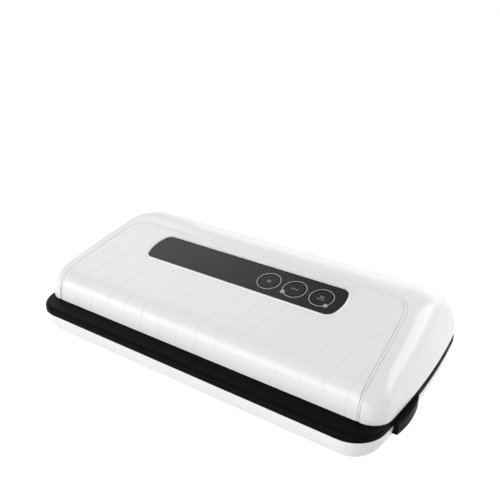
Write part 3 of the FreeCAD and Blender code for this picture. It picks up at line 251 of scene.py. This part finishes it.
def closedForm(name, rings, ring=False):
    # bridges each ring of points to the next; the ends are capped, or joined where the form is itself a ring
    bm = bmesh.new()
    loops = []
    for points in rings:
        verts = [bm.verts.new(point * mm) for point in points]
        loops.append([bm.edges.new((verts[i - 1], verts[i])) for i in range(len(verts))])
    for lower, upper in zip(loops, loops[1:] + loops[:1] if ring else loops[1:]):
        bmesh.ops.bridge_loops(bm, edges=lower + upper)
    if not ring:
        bmesh.ops.contextual_create(bm, geom=loops[0])
        bmesh.ops.contextual_create(bm, geom=loops[-1])
    return fromBmesh(name, bm)


def spunForm(name, profile, segments):
    # turns a profile of (radius, height) points round the Z axis
    bm = bmesh.new()
    verts = [bm.verts.new((radius * mm, 0, height * mm)) for radius, height in profile]
    edges = [bm.edges.new(pair) for pair in zip(verts, verts[1:])]
    bmesh.ops.spin(bm, geom=verts + edges, cent=(0, 0, 0), axis=(0, 0, 1), angle=2 * math.pi,
                   steps=segments, use_merge=True)
    bmesh.ops.remove_doubles(bm, verts=bm.verts, dist=weld)
    return fromBmesh(name, bm)


def boxForm(name, low, high):
    bm = bmesh.new()
    low, high = Vector(low) * mm, Vector(high) * mm
    place = Matrix.Translation((low + high) / 2) @ Matrix.Diagonal((*(high - low), 1))
    bmesh.ops.create_cube(bm, size=1, matrix=place)
    return fromBmesh(name, bm)


def plateForm(name, outline, low, high):
    # an upright prism over an outline
    bm = bmesh.new()
    face = bm.faces.new([bm.verts.new(point * mm) for point in atHeight(outline, low)])
    raised = bmesh.ops.extrude_face_region(bm, geom=[face])["geom"]
    verts = [item for item in raised if isinstance(item, bmesh.types.BMVert)]
    bmesh.ops.translate(bm, verts=verts, vec=(0, 0, (high - low) * mm))
    return fromBmesh(name, bm)


def fromBmesh(name, bm):
    bmesh.ops.recalc_face_normals(bm, faces=bm.faces)
    mesh = bpy.data.meshes.new(name)
    bm.to_mesh(mesh)
    bm.free()
    made = bpy.data.objects.new(name, mesh)
    bpy.context.scene.collection.objects.link(made)
    return made


def joinedForm(name, forms):
    bm = bmesh.new()
    for form in forms:
        bm.from_mesh(form.data)
        bpy.data.objects.remove(form)
    return fromBmesh(name, bm)


def carve(form, tools, operation="DIFFERENCE"):
    # cuts the tools out of a form, or adds them to it, and takes them away
    for tool in tools:
        modifier = form.modifiers.new("carve", "BOOLEAN")
        modifier.operation = operation
        modifier.solver = "EXACT"
        modifier.object = tool
    bpy.context.view_layer.update()
    carved = form.evaluated_get(bpy.context.evaluated_depsgraph_get())
    bm = bmesh.new()
    bm.from_mesh(carved.data)
    bmesh.ops.remove_doubles(bm, verts=bm.verts, dist=weld)
    bmesh.ops.dissolve_degenerate(bm, dist=weld, edges=bm.edges)
    form.modifiers.clear()
    bm.to_mesh(form.data)
    bm.free()
    for tool in tools:
        bpy.data.objects.remove(tool)


def softened(form, width, segments, angle=40):
    # rounds every sharp edge of a finished mesh
    bm = bmesh.new()
    bm.from_mesh(form.data)
    bmesh.ops.remove_doubles(bm, verts=bm.verts, dist=weld)
    edges = [e for e in bm.edges if len(e.link_faces) == 2 and e.calc_face_angle() > math.radians(angle)]
    bmesh.ops.bevel(bm, geom=edges, offset=width * mm, offset_type="OFFSET", segments=segments, profile=0.5,
                    affect="EDGES", material=-1, clamp_overlap=True)
    bm.to_mesh(form.data)
    bm.free()


def placed(form, matrix):
    form.data.transform(matrix)
    return form


def dressed(form, body, material, slot, *nodes, sharp=32):
    # smooth shading with crisp edges, a finish, and the body that carries it
    form.data.materials.clear()
    form.data.materials.append(material)
    form.data.shade_smooth()
    form.data.set_sharp_from_angle(angle=math.radians(sharp))
    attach(form, body)
    if nodes:
        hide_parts(*nodes)


# lid: a shell drawn in towards its sloping flat top, with fine channels

lid = {
    "half": 184.6, "curve": 706.4, "front": -81.0, "rear": 98.8, "frontRadius": 18.0, "rearRadius": 28.0,
    "foot": 31.1, "top": 73.9, "tilt": 12.0, "roll": 19.0, "wall": 2.5,
    "flatHalf": 163.0, "flatCurve": 1057.0, "flatApex": -100.0, "flatRear": 29.0,
    "flatFrontRadius": 26.0, "flatRearRadius": 18.0,
    "frontFullness": 2.7, "sideFullness": 2.1, "rearFullness": 1.72, "levels": 44,
    "ridgeInset": 0.3, "ridgeWidth": 2.4, "ridgeDepth": 0.8, "relief": 32.6, "reliefStart": 86.0,
    "hingeSpread": 113.0, "hingeRoom": 14.1, "hingeTop": 44.8, "hingeStart": 85.0,
    "hollowDrop": 1.0, "hollowLevels": 24, "floorLevels": 36, "floorSkirt": 20.0,
    # how far the cutting tools reach, and the height between the loops of a ring-shaped one
    "below": 10.0, "above": 30.0, "ahead": 40.0, "beside": 200.0, "behind": 120.0, "stagger": 4.0,
}
flutes = {
    "first": 150.9, "pitch": 20.6, "count": 16, "bend": 260.0, "lean": 8.5, "start": -80.0, "width": 0.7,
    "depth": 0.18, "lead": 8.0, "step": 2.0, "rearRoom": 2.2, "sideRoom": 2.4,
}
bead = {
    "radius": 0.98, "sink": 0.36, "sides": 12, "turnHeight": 56.0, "rise": 2.4, "reach": 3.0, "far": 150.0,
    "middle": 1e-6,
}
panel = {
    "length": 212.0, "width": 37.6, "bow": 5.0, "corner": 9.0, "back": -2.5, "face": -0.3, "gap": 0.2,
    "rimFoot": 1.9, "rimCrest": 1.1, "rimRise": 0.9, "rimRoot": -1.0, "rimHeel": 0.01, "edge": 0.35,
    "ledge": 3.0, "frame": 2.5, "frameDepth": 5.5, "recessTop": 5.0, "windowLow": -12.0, "windowTop": 1.0,
    "holeLow": -6.0, "holeTop": 4.0,
}
topPlace = Matrix.Translation((0, 0, lid["top"] * mm)) @ Matrix.Rotation(math.radians(lid["tilt"]), 4, "X")


def drawnIn(share, fullness):
    return 1 - max(0.0, 1 - share**fullness) ** (1 / fullness)


def lidRing(share, wall, foot):
    # one level of the lid: upright at its foot, tilted like the flat top at its end
    slant = math.tan(math.radians(lid["tilt"]))
    top = lid["top"] - wall / math.cos(math.radians(lid["tilt"]))
    fullness = ("sideFullness", "rearFullness", "frontFullness")
    side, rear, front = (drawnIn(share, lid[name]) for name in fullness)
    slope = math.atan(share * slant)

    def between(start, end, weight):
        return start + (end - start) * weight

    outline = bowedOutline(
        between(lid["half"], lid["flatHalf"], side) - wall,
        between(lid["curve"], lid["flatCurve"], side) - wall,
        between(0, lid["flatApex"], side),
        (lid["front"] + lid["roll"] * front + wall) / math.cos(slope),
        (between(lid["rear"], lid["flatRear"], rear) - wall) / math.cos(slope),
        between(lid["frontRadius"], lid["flatFrontRadius"], side) - wall,
        between(lid["rearRadius"], lid["flatRearRadius"], side) - wall,
    )
    lift = foot + share * (top - foot)
    return [Vector((x, y * math.cos(slope), lift + y * math.sin(slope))) for x, y in outline]


def lidForm(name, wall, foot, levels, skirt=0):
    # the lid's form drawn in by a wall thickness, with a straight skirt below it where one is wanted
    shares = [math.sin(math.pi / 2 * level / levels) for level in range(levels + 1)]
    formed = [lidRing(share, wall, foot) for share in shares]
    hem = [[point - Vector((0, 0, skirt)) for point in formed[0]]] if skirt else []
    return closedForm(name, hem + formed)


def flatOutline(shift):
    # the edge of the flat top, run out beyond the front
    front, rear, corner = lid["front"] - lid["ahead"], lid["flatRear"] + shift, lid["flatRearRadius"]
    return bowedOutline(lid["flatHalf"] + shift, lid["flatCurve"] + shift, lid["flatApex"], front, rear,
                        corner, corner + shift)


def flute(number):
    # an upright blade along one of the bent lines that cross the flat top and the front
    start = flutes["first"] - number * flutes["pitch"]
    lean = math.sin(math.radians(flutes["lean"]))
    line = []
    y = lid["front"] - flutes["lead"]
    while y < lid["flatRear"] - flutes["rearRoom"]:
        turned = lean + (y - flutes["start"]) / flutes["bend"]
        x = start + flutes["bend"] * (math.sqrt(1 - lean**2) - math.sqrt(1 - turned**2))
        edge = lid["flatHalf"] - (y - lid["flatApex"]) ** 2 / (2 * lid["flatCurve"]) - flutes["sideRoom"]
        if x > edge:
            break
        if x > -edge:
            line.append((x, y))
        y += flutes["step"]
    half = flutes["width"] / 2
    outline = [(x + half, y) for x, y in line] + [(x - half, y) for x, y in reversed(line)]
    return plateForm(f"fluteBlade{number}", outline, lid["foot"] - lid["below"], lid["top"] + lid["above"])


def makeBead(surface):
    # a fine half-round in the channel, from the lower edge up one side, along the rear and down the other
    outline = flatOutline(-lid["ridgeInset"] - lid["ridgeWidth"] / 2)
    tree = BVHTree.FromObject(surface, bpy.context.evaluated_depsgraph_get())
    side = max(x for x, y in outline)
    rising = []
    height = lid["foot"] + bead["radius"]
    while height < bead["turnHeight"]:
        rising.append(tree.ray_cast(Vector((side, -bead["far"], height)) * mm, Vector((0, 1, 0)))[:2])
        height += bead["rise"]
    turn = rising[-1][0].y / mm + bead["reach"]
    above = [Vector((x, y, bead["far"])) * mm for x, y in outline if y > turn and x >= 0]
    over = [tree.ray_cast(start, Vector((0, 0, -1)))[:2] for start in above]
    half = rising + over
    across = Matrix.Diagonal((-1, 1, 1))
    path = half + [(across @ spot, across @ way) for spot, way in reversed(half) if spot.x > bead["middle"]]
    rings = []
    for index, (spot, way) in enumerate(path):
        ahead = path[min(index + 1, len(path) - 1)][0] - path[max(index - 1, 0)][0]
        aside = ahead.cross(way).normalized()
        middle = spot / mm - way * bead["sink"]
        turns = [2 * math.pi * step / bead["sides"] for step in range(bead["sides"])]
        rings.append([middle + (aside * math.cos(a) + way * math.sin(a)) * bead["radius"] for a in turns])
    dressed(closedForm("lidBead", rings), "lid", whiteGloss, "white_gloss", sharp=60)


def panelOutline(grow):
    half = panel["width"] / 2
    curve = (half**2 + panel["bow"] ** 2) / (2 * panel["bow"]) + grow
    radius = panel["corner"] + grow
    return bowedOutline(panel["length"] / 2 + grow, curve, 0, -half - grow, half + grow, radius, radius,
                        along=40, turn=12, side=16)


def makeLid():
    shell = lidForm("lidShell", 0, lid["foot"], lid["levels"])
    makeBead(shell)
    outer, inner = flatOutline(-lid["ridgeInset"]), flatOutline(-lid["ridgeInset"] - lid["ridgeWidth"])
    low, high = lid["foot"] - lid["below"], lid["top"] + lid["above"]
    ridge = closedForm("ridgeBand", [atHeight(outer, low), atHeight(outer, high),
                                     atHeight(inner, high + lid["stagger"]),
                                     atHeight(inner, low - lid["stagger"])], ring=True)
    levels, skirt = lid["floorLevels"], lid["floorSkirt"]
    carve(ridge, [lidForm("ridgeFloor", lid["ridgeDepth"], lid["foot"], levels, skirt)])
    blades = joinedForm("blades", [flute(number) for number in range(flutes["count"])])
    carve(blades, [lidForm("bladeFloor", flutes["depth"], lid["foot"], levels, skirt)])
    hollow = lidForm("lidHollow", lid["wall"], lid["foot"] - lid["hollowDrop"], lid["hollowLevels"])
    depth = panel["frameDepth"]
    carve(hollow, [placed(plateForm("panelFrame", panelOutline(panel["frame"]), -depth, depth), topPlace)])
    steps = ((panel["rimFoot"], panel["rimRoot"]), (panel["rimFoot"], panel["rimHeel"]),
             (panel["rimCrest"], panel["rimRise"]))
    rim = closedForm("panelRim", [atHeight(panelOutline(grow), height) for grow, height in steps])
    recess = plateForm("panelRecess", panelOutline(panel["gap"]), panel["back"], panel["recessTop"])
    window = plateForm("panelWindow", panelOutline(-panel["ledge"]), panel["windowLow"], panel["windowTop"])
    beside, behind = lid["beside"], lid["behind"]
    relief = boxForm("rearRelief", (-beside, lid["reliefStart"], 0), (beside, behind, lid["relief"]))
    notches = []
    for middle in (lid["hingeSpread"], -lid["hingeSpread"]):
        notches.append(boxForm("hingeNotch", (middle - lid["hingeRoom"], lid["hingeStart"], 0),
                               (middle + lid["hingeRoom"], behind, lid["hingeTop"])))
    carve(shell, [ridge, blades])
    carve(shell, [placed(rim, topPlace)], "UNION")
    carve(shell, [hollow, placed(recess, topPlace), placed(window, topPlace), relief, *notches])
    dressed(shell, "lid", whiteGloss, "white_gloss", "lid_cover", sharp=15)


makeLid()
print("lid made")


# tub: drawn in towards its floor, open at the top

tub = {
    "half": 185.0, "depth": 99.2, "curve": 706.4, "corner": 28.0, "floor": 2.0, "rim": 24.0, "tuck": 14.0,
    "wall": 2.5, "levels": 22, "screwHole": 1.7, "counterbore": 3.2, "counterboreTop": 3.4,
    "screws": ((156, 8), (156, 60), (74, -60)), "holeTop": 8.0,
    "footRadius": 9.2, "footTop": 3.0, "feet": ((140, 60), (140, -60)),
    "buttonFront": -61.9, "buttonRear": -20.1, "buttonLow": 15.8, "buttonTop": 40.0,
    "buttonSpan": (170.0, 200.0), "inlet": (-123.2, -96.8, 5.8, 19.7), "inletSpan": (70.0, 110.0),
    "above": 5.0,
}


def tubRing(share, wall, floor):
    inset = tub["tuck"] * (1 - math.sqrt(max(0.0, 1 - share**2))) + wall
    rear, corner = tub["depth"] - inset, tub["corner"] - inset
    outline = bowedOutline(tub["half"] - inset, tub["curve"] - inset, 0, -rear, rear, corner, corner)
    return atHeight(outline, tub["rim"] - share * (tub["rim"] - floor))


def mirroredSpots(spots):
    return [(sign * x, y) for x, y in spots for sign in (1, -1)]


def upright(name, radius, x, y, low, high, segments=40):
    bm = bmesh.new()
    place = Matrix.Translation((x * mm, y * mm, (low + high) / 2 * mm))
    bmesh.ops.create_cone(bm, cap_ends=True, segments=segments, radius1=radius * mm, radius2=radius * mm,
                          depth=(high - low) * mm, matrix=place)
    return fromBmesh(name, bm)


def makeTub():
    shares = [math.sin(math.pi / 2 * level / tub["levels"]) for level in range(tub["levels"] + 1)]
    shell = closedForm("tubShell", [tubRing(share, 0, tub["floor"]) for share in shares])
    inner = [tubRing(share, tub["wall"], tub["floor"] + tub["wall"]) for share in shares]
    mouth = [point + Vector((0, 0, tub["above"])) for point in inner[0]]
    hollow = closedForm("tubHollow", [mouth] + inner)
    windows = []
    for sign in (1, -1):
        near, far = sorted(sign * reach for reach in tub["buttonSpan"])
        windows.append(boxForm("buttonWindow", (near, tub["buttonFront"], tub["buttonLow"]),
                               (far, tub["buttonRear"], tub["buttonTop"])))
    left, right, low, high = tub["inlet"]
    near, far = tub["inletSpan"]
    windows.append(boxForm("inletWindow", (left, near, low), (right, far, high)))
    holes = []
    for x, y in mirroredSpots(tub["screws"]):
        holes.append(upright("screwHole", tub["screwHole"], x, y, 0, tub["holeTop"]))
        holes.append(upright("counterbore", tub["counterbore"], x, y, 0, tub["counterboreTop"]))
    for x, y in mirroredSpots(tub["feet"]):
        holes.append(upright("footRecess", tub["footRadius"], x, y, 0, tub["footTop"], segments=64))
    carve(shell, [hollow, *windows, *holes])
    dressed(shell, "base", whiteGloss, "white_gloss", "lower_housing")


makeTub()
print("tub made")


# panel with its printed rings, keys and lenses

keys = {
    "names": ("stop_key", "seal_key", "vacuum_key"), "first": 30.2, "pitch": 27.05, "radius": 9.0, "gap": 0.3,
    "face": -0.3, "round": 0.25, "flange": 10.4, "flangeTop": -2.8, "flangeLow": -3.8, "stem": 2.0,
    "stemLow": -5.4,
}
rings = {
    "radius": 11.05, "line": 0.5, "height": 0.05, "sink": 0.05, "collar": 2.3, "lensRoom": 0.3, "near": 13.0,
    "cut": 3.0,
}
lenses = {
    "radius": 1.5, "hole": 1.55, "orbit": 11.1, "angles": ((1, 222), (2, 315)), "dome": 0.25,
    "crown": (0.0, 0.4, 0.8, 1.2),
}


def keyX(index):
    return keys["first"] + index * keys["pitch"]


def lensSpots():
    for index, degrees in lenses["angles"]:
        angle = math.radians(degrees)
        yield keyX(index) + lenses["orbit"] * math.cos(angle), lenses["orbit"] * math.sin(angle)


def makePanel():
    edge, low, high = panel["edge"], panel["holeLow"], panel["holeTop"]
    steps = ((0, panel["back"]), (0, panel["face"] - edge), (-edge, panel["face"]))
    plate = closedForm("panelPlate", [atHeight(panelOutline(grow), height) for grow, height in steps])
    keyRoom, count = keys["radius"] + keys["gap"], len(keys["names"])
    holes = [upright("keyHole", keyRoom, keyX(index), 0, low, high, segments=96) for index in range(count)]
    holes += [upright("lensHole", lenses["hole"], x, y, low, high, segments=32) for x, y in lensSpots()]
    carve(plate, holes)
    dressed(placed(plate, topPlace), "lid", panelGloss, "panel_gloss", "control_panel", sharp=25)


def makeKeys():
    for index, node in enumerate(keys["names"]):
        radius, face, edge = keys["radius"], keys["face"], keys["round"]
        profile = ((0, keys["stemLow"]), (keys["stem"], keys["stemLow"]), (keys["stem"], keys["flangeLow"]),
                   (keys["flange"], keys["flangeLow"]), (keys["flange"], keys["flangeTop"]),
                   (radius, keys["flangeTop"]), (radius, face - edge),
                   (radius - shoulder * edge, face - shoulder * edge), (radius - edge, face), (0, face))
        cap = spunForm(f"{node.split('_')[0]}KeyCap", profile, segments=96)
        across = Matrix.Translation((keyX(index) * mm, 0, 0))
        dressed(placed(cap, topPlace @ across), node, panelGloss, "panel_gloss", node, sharp=20)


def makeRings():
    # each printed ring is a hair above the panel, open where a lens sits on it
    inner, outer = rings["radius"] - rings["line"] / 2, rings["radius"] + rings["line"] / 2
    low, high = panel["face"] - rings["sink"], panel["face"] + rings["height"]
    for index in range(len(keys["names"])):
        profile = ((inner, low), (inner, high), (outer, high), (outer, low), (inner, low))
        band = spunForm(f"printedRing{index + 1}", profile, segments=128)
        placed(band, Matrix.Translation((keyX(index) * mm, 0, 0)))
        gap, reach = rings["collar"] + rings["lensRoom"], rings["cut"]
        carve(band, [upright("lensGap", gap, x, y, -reach, reach, segments=32) for x, y in lensSpots()
                     if abs(x - keyX(index)) < rings["near"]])
        dressed(placed(band, topPlace), "lid", printWhite, "lens_clear")
    collars = []
    inner, outer = lenses["hole"], rings["collar"]
    for x, y in lensSpots():
        profile = ((inner, low), (inner, high), (outer, high), (outer, low), (inner, low))
        collar = spunForm("collar", profile, segments=48)
        collars.append(placed(collar, Matrix.Translation((x * mm, y * mm, 0))))
    dressed(placed(joinedForm("lensCollars", collars), topPlace), "lid", printGrey, "lens_clear")


# plain marks on the keys: bars of (middle x, middle y, length, width) from the key's middle
marks = {
    "height": 0.05, "sink": 0.05,
    "stop_key": ((0, 1.2, 3.0, 0.6), (0, -1.2, 3.0, 0.6), (-1.15, 0, 0.6, 2.0), (1.15, 0, 0.6, 2.0)),
    "seal_key": ((0, 0, 6.4, 0.6), (-3.0, 0, 0.5, 2.0), (3.0, 0, 0.5, 2.0)),
    "vacuum_key": ((0, 1.5, 5.0, 0.6), (0, 0, 3.2, 0.6), (0, -2.2, 6.4, 0.6), (-3.0, -2.2, 0.5, 1.8),
                   (3.0, -2.2, 0.5, 1.8)),
}


def makeMarks():
    low, high = keys["face"] - marks["sink"], keys["face"] + marks["height"]
    for index, node in enumerate(keys["names"]):
        bars = []
        for x, y, length, width in marks[node]:
            bars.append(boxForm("bar", (x - length / 2, y - width / 2, low),
                                (x + length / 2, y + width / 2, high)))
        mark = joinedForm(f"{node.split('_')[0]}Mark", bars)
        across = Matrix.Translation((keyX(index) * mm, 0, 0))
        dressed(placed(mark, topPlace @ across), node, printGrey, "lens_clear")


def makeLenses():
    domes = []
    for x, y in lensSpots():
        radius, face, dome = lenses["radius"], panel["face"], lenses["dome"]
        crown = [(radius * math.cos(a), face + dome * math.sin(a)) for a in lenses["crown"]]
        profile = ((0, panel["back"]), (radius, panel["back"]), *crown, (0, face + dome))
        form = spunForm("lens", profile, segments=40)
        domes.append(placed(form, Matrix.Translation((x * mm, y * mm, 0))))
    pair = placed(joinedForm("indicatorDomes", domes), topPlace)
    dressed(pair, "lid", lensClear, "lens_clear", "indicator_lenses")


makePanel()
makeKeys()
makeRings()
makeMarks()
makeLenses()
print("panel made")


# seals: foam rings and the pressure pad

gasket = {
    "half": 164.0, "front": -62.0, "rear": -4.0, "corner": 12.0, "width": 7.0, "round": 1.1, "crown": 0.1,
    "lower": (29.1, 31.8), "upper": (35.1, 32.15), "turns": (0, 22, 45, 68, 90),
    "sideCurve": 8200.0,  # so flat that the short sides look straight
}
pad = {"half": 158.0, "line": -70.0, "width": 8.0, "low": 31.65, "high": 34.6, "round": 1.0, "segments": 4}


def gasketRing(inset, height):
    front, rear, corner = gasket["front"], gasket["rear"], gasket["corner"] - inset
    outline = bowedOutline(gasket["half"] - inset, gasket["sideCurve"], (front + rear) / 2, front + inset,
                           rear - inset, corner, corner, along=60, turn=10, side=12)
    return atHeight(outline, height)


def makeGasket(name, root, crest, body, node):
    # a foam ring, seated at its root and rounded along its crest
    width, bulge = gasket["width"], gasket["round"]
    way = 1 if crest > root else -1
    turns = [math.radians(angle) for angle in gasket["turns"]]
    crown = gasket["crown"]
    outside = [(bulge * (1 - math.cos(a)), crest - way * (crown + bulge * (1 - math.sin(a)))) for a in turns]
    inside = [(width - inset, height) for inset, height in reversed(outside)]
    section = [(0, root), *outside, (width / 2, crest), *inside, (width, root + way * crown)]
    form = closedForm(name, [gasketRing(inset, height) for inset, height in section], ring=True)
    dressed(form, body, foamDark, "foam_dark", node, sharp=60)


def makePad():
    form = boxForm("pressurePad", (-pad["half"], pad["line"] - pad["width"] / 2, pad["low"]),
                   (pad["half"], pad["line"] + pad["width"] / 2, pad["high"]))
    softened(form, pad["round"], pad["segments"])
    dressed(form, "lid", padGrey, "foam_pad", "seal_pad", sharp=60)


makeGasket("lowerFoamRing", *gasket["lower"], "base", "lower_gasket")
makeGasket("upperFoamRing", *gasket["upper"], "lid", "upper_gasket")
makePad()
print("seals made")


# feet: soft discs with a rounded tread and a shallow dish

foot = {"radius": 9.0, "height": 3.0, "round": 0.6, "dish": 0.4, "dishRadius": 5.5, "dishSlope": 0.4}


def makeFeet():
    discs = []
    radius, edge = foot["radius"], foot["round"]
    for x, y in mirroredSpots(tub["feet"]):
        profile = ((0, foot["dish"]), (foot["dishRadius"] - foot["dishSlope"], foot["dish"]),
                   (foot["dishRadius"], 0), (radius - edge, 0), (radius - shoulder * edge, shoulder * edge),
                   (radius, edge), (radius, foot["height"]), (0, foot["height"]))
        disc = spunForm("foot", profile, segments=64)
        discs.append(placed(disc, Matrix.Translation((x * mm, y * mm, 0))))
    dressed(joinedForm("rubberDiscs", discs), "base", rubberGrey, "rubber_grey", "rubber_feet")


# screws: flat heads with a cross recess, shanks hidden in their posts

screw = {
    "head": 3.0, "thick": 1.2, "chamfer": 0.3, "shank": 1.5, "grip": 10.0, "slot": 0.9, "reach": 3.6,
    "depth": 0.7, "runOut": (1.0, 2.0), "stagger": 0.04, "tubSeat": 2.2, "plateSeat": 32.4,
    "plateSpots": ((148, 15), (148, 60), (74, 60)),
}


def makeScrews(name, spots, low, body, node):
    forms = []
    for x, y in spots:
        head, thick = screw["head"], screw["thick"]
        chamfer, shank, end = screw["chamfer"], screw["shank"], thick + screw["grip"]
        profile = ((0, 0), (head - chamfer, 0), (head, chamfer), (head, thick), (shank, thick), (shank, end),
                   (0, end))
        form = spunForm("screw", profile, segments=40)
        half, reach, depth = screw["slot"] / 2, screw["reach"] / 2, screw["depth"]
        near, far = screw["runOut"]
        carve(form, [boxForm("slotA", (-reach, -half, -near), (reach, half, depth)),
                     boxForm("slotB", (-half, -reach, -far), (half, reach, depth + screw["stagger"]))])
        forms.append(placed(form, Matrix.Translation((x * mm, y * mm, low * mm))))
    dressed(joinedForm(name, forms), body, steelPlain, "steel", node)


makeFeet()
makeScrews("tubScrews", mirroredSpots(tub["screws"]), screw["tubSeat"], "base", "housing_screws")
makeScrews("plateScrews", mirroredSpots(screw["plateSpots"]), screw["plateSeat"], "lid", "lid_screws")
print("feet and screws made")


# return springs: merged copies of the coils, which the buttons press against their stops in the real thing

coil = {"stop": 153.2, "tip": 165.8, "line": -41.0, "height": 14.8, "stroke": 3.0, "weld": 1e-6}


def makeCoils():
    for side, sign in (("right", 1), ("left", -1)):
        bm = bmesh.new()
        bm.from_mesh(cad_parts[f"button_spring_{side}"].data)
        bmesh.ops.remove_doubles(bm, verts=bm.verts, dist=coil["weld"])
        form = fromBmesh(f"{side}Coil", bm)
        dressed(form, "base", steelPlain, "steel", f"button_spring_{side}", sharp=60)
        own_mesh(form)


makeCoils()
print("springs made")


# nodes whose solids have the right shape keep it and get a finish

kept = (
    ("base_deck", blackSatin), ("lid_plate", blackInner), ("release_button_right", blackSatin),
    ("release_button_left", blackSatin), ("heater_bar", barMetal), ("heating_strip", ribbonMetal),
    ("release_tape", tapeTan), ("hinge_pin_right", steelPlain), ("hinge_pin_left", steelPlain),
    ("control_board", boardGreen), ("tact_switches", blackInner), ("pump_motor", canSteel),
    ("pump_rotor", steelPlain), ("pump_head", blackInner), ("motor_cradle", blackInner),
    ("suction_hose", hoseClear), ("suction_nozzle", blackInner), ("supply_board", boardGreen),
    ("transformer", windingAmber), ("capacitors", sleeveBlue), ("power_inlet", blackInner),
)
for node, material in kept:
    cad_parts[node].data.materials.clear()
    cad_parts[node].data.materials.append(material)
print("kept nodes finished:", len(kept))


# floor, light and camera

studio = {
    "low": 0.9, "high": 0.03, "bandStart": 0.6, "bandEnd": 0.8,
    "left": 1.08, "right": 0.16, "sideStart": -0.8, "sideEnd": 0.9,
    "floorSize": 12.0, "floorDark": (0.68, 0.68, 0.68), "floorLight": (0.7, 0.7, 0.7), "floorCloud": 3,
    "floorGlow": 1.25, "floorShare": 0.75,
    "lamps": (
        ("frontSoftbox", (-0.6, -1.8, 0.3), (0, 0, 0.03), (2.6, 0.9), 34.0),
        ("leftSoftbox", (-1.5, 0.85, 1.35), (-0.08, 0, 0.07), (1.2, 1.2), 7.0),
        ("rearSoftbox", (-0.2, 1.9, 0.55), (0, 0, 0.04), (2.4, 0.7), 6.0),
        ("rightSoftbox", (1.2, 0.8, 1.05), (0.1, 0, 0.05), (1.6, 1.2), 25.0),
    ),
}
view = {"place": (0.3132, -0.4455, 0.359), "turn": 34.29, "down": 25.73, "lens": 47.62, "sensor": 36.0,
        "near": 0.01}


def makeFloor():
    bm = bmesh.new()
    bmesh.ops.create_grid(bm, x_segments=1, y_segments=1, size=studio["floorSize"])
    floor = fromBmesh("floor", bm)
    finish = Finish("floorPaper", {"Roughness": 0.9, "Specular IOR Level": 0.1})
    finish.shade(finish.noise(studio["floorCloud"]), studio["floorDark"], studio["floorLight"])
    white = finish.node("ShaderNodeEmission", {}, {"Color": (1, 1, 1, 1), "Strength": studio["floorGlow"]})
    mixed = finish.node("ShaderNodeMixShader", {}, {0: finish.seenRays() * studio["floorShare"],
                                                   1: Value(finish, finish.shader.outputs[0]), 2: white})
    finish.tree.links.new(mixed.socket, finish.tree.nodes["Material Output"].inputs["Surface"])
    floor.data.materials.append(finish.material)


def makeWorld():
    # a pale tent: bright walls, a darker roof, less light from the right; what is seen of it is plain white
    world = bpy.data.worlds.new("studioAir")
    bpy.context.scene.world = world
    air = Nodes(world)
    way = air.node("ShaderNodeTexCoord", output="Generated")

    def falling(axis, start, end, first, last):
        along = air.node("ShaderNodeSeparateXYZ", {}, {"Vector": way}, output=axis)
        return air.node("ShaderNodeMapRange", {}, {"Value": along, "From Min": start, "From Max": end,
                                                   "To Min": first, "To Max": last})

    walls = falling("Z", studio["bandStart"], studio["bandEnd"], studio["low"], studio["high"])
    tent = walls * falling("X", studio["sideStart"], studio["sideEnd"], studio["left"], studio["right"])
    shown = air.node("ShaderNodeMix", {}, {"Factor": air.seenRays(), "A": tent, "B": 1.0})
    background = air.tree.nodes["Background"]
    background.inputs["Color"].default_value = (1, 1, 1, 1)
    air.tree.links.new(shown.socket, background.inputs["Strength"])


def makeLamps():
    for name, place, target, span, power in studio["lamps"]:
        lamp = bpy.data.lights.new(name, "AREA")
        lamp.shape = "RECTANGLE"
        lamp.size, lamp.size_y = span
        lamp.energy = power
        holder = bpy.data.objects.new(name, lamp)
        aim = (Vector(target) - Vector(place)).to_track_quat("-Z", "Y")
        holder.matrix_world = Matrix.Translation(place) @ aim.to_matrix().to_4x4()
        bpy.context.scene.collection.objects.link(holder)


def makeCamera():
    camera = bpy.data.cameras.new("camera")
    camera.lens = view["lens"]
    camera.sensor_width = view["sensor"]
    camera.clip_start = view["near"]
    holder = bpy.data.objects.new("camera", camera)
    holder.location = view["place"]
    holder.rotation_euler = (math.radians(90 - view["down"]), 0, math.radians(view["turn"]))
    bpy.context.scene.collection.objects.link(holder)
    bpy.context.scene.camera = holder


makeFloor()
makeWorld()
makeLamps()
makeCamera()
bpy.context.scene.view_settings.view_transform = "Standard"
print("scene made")
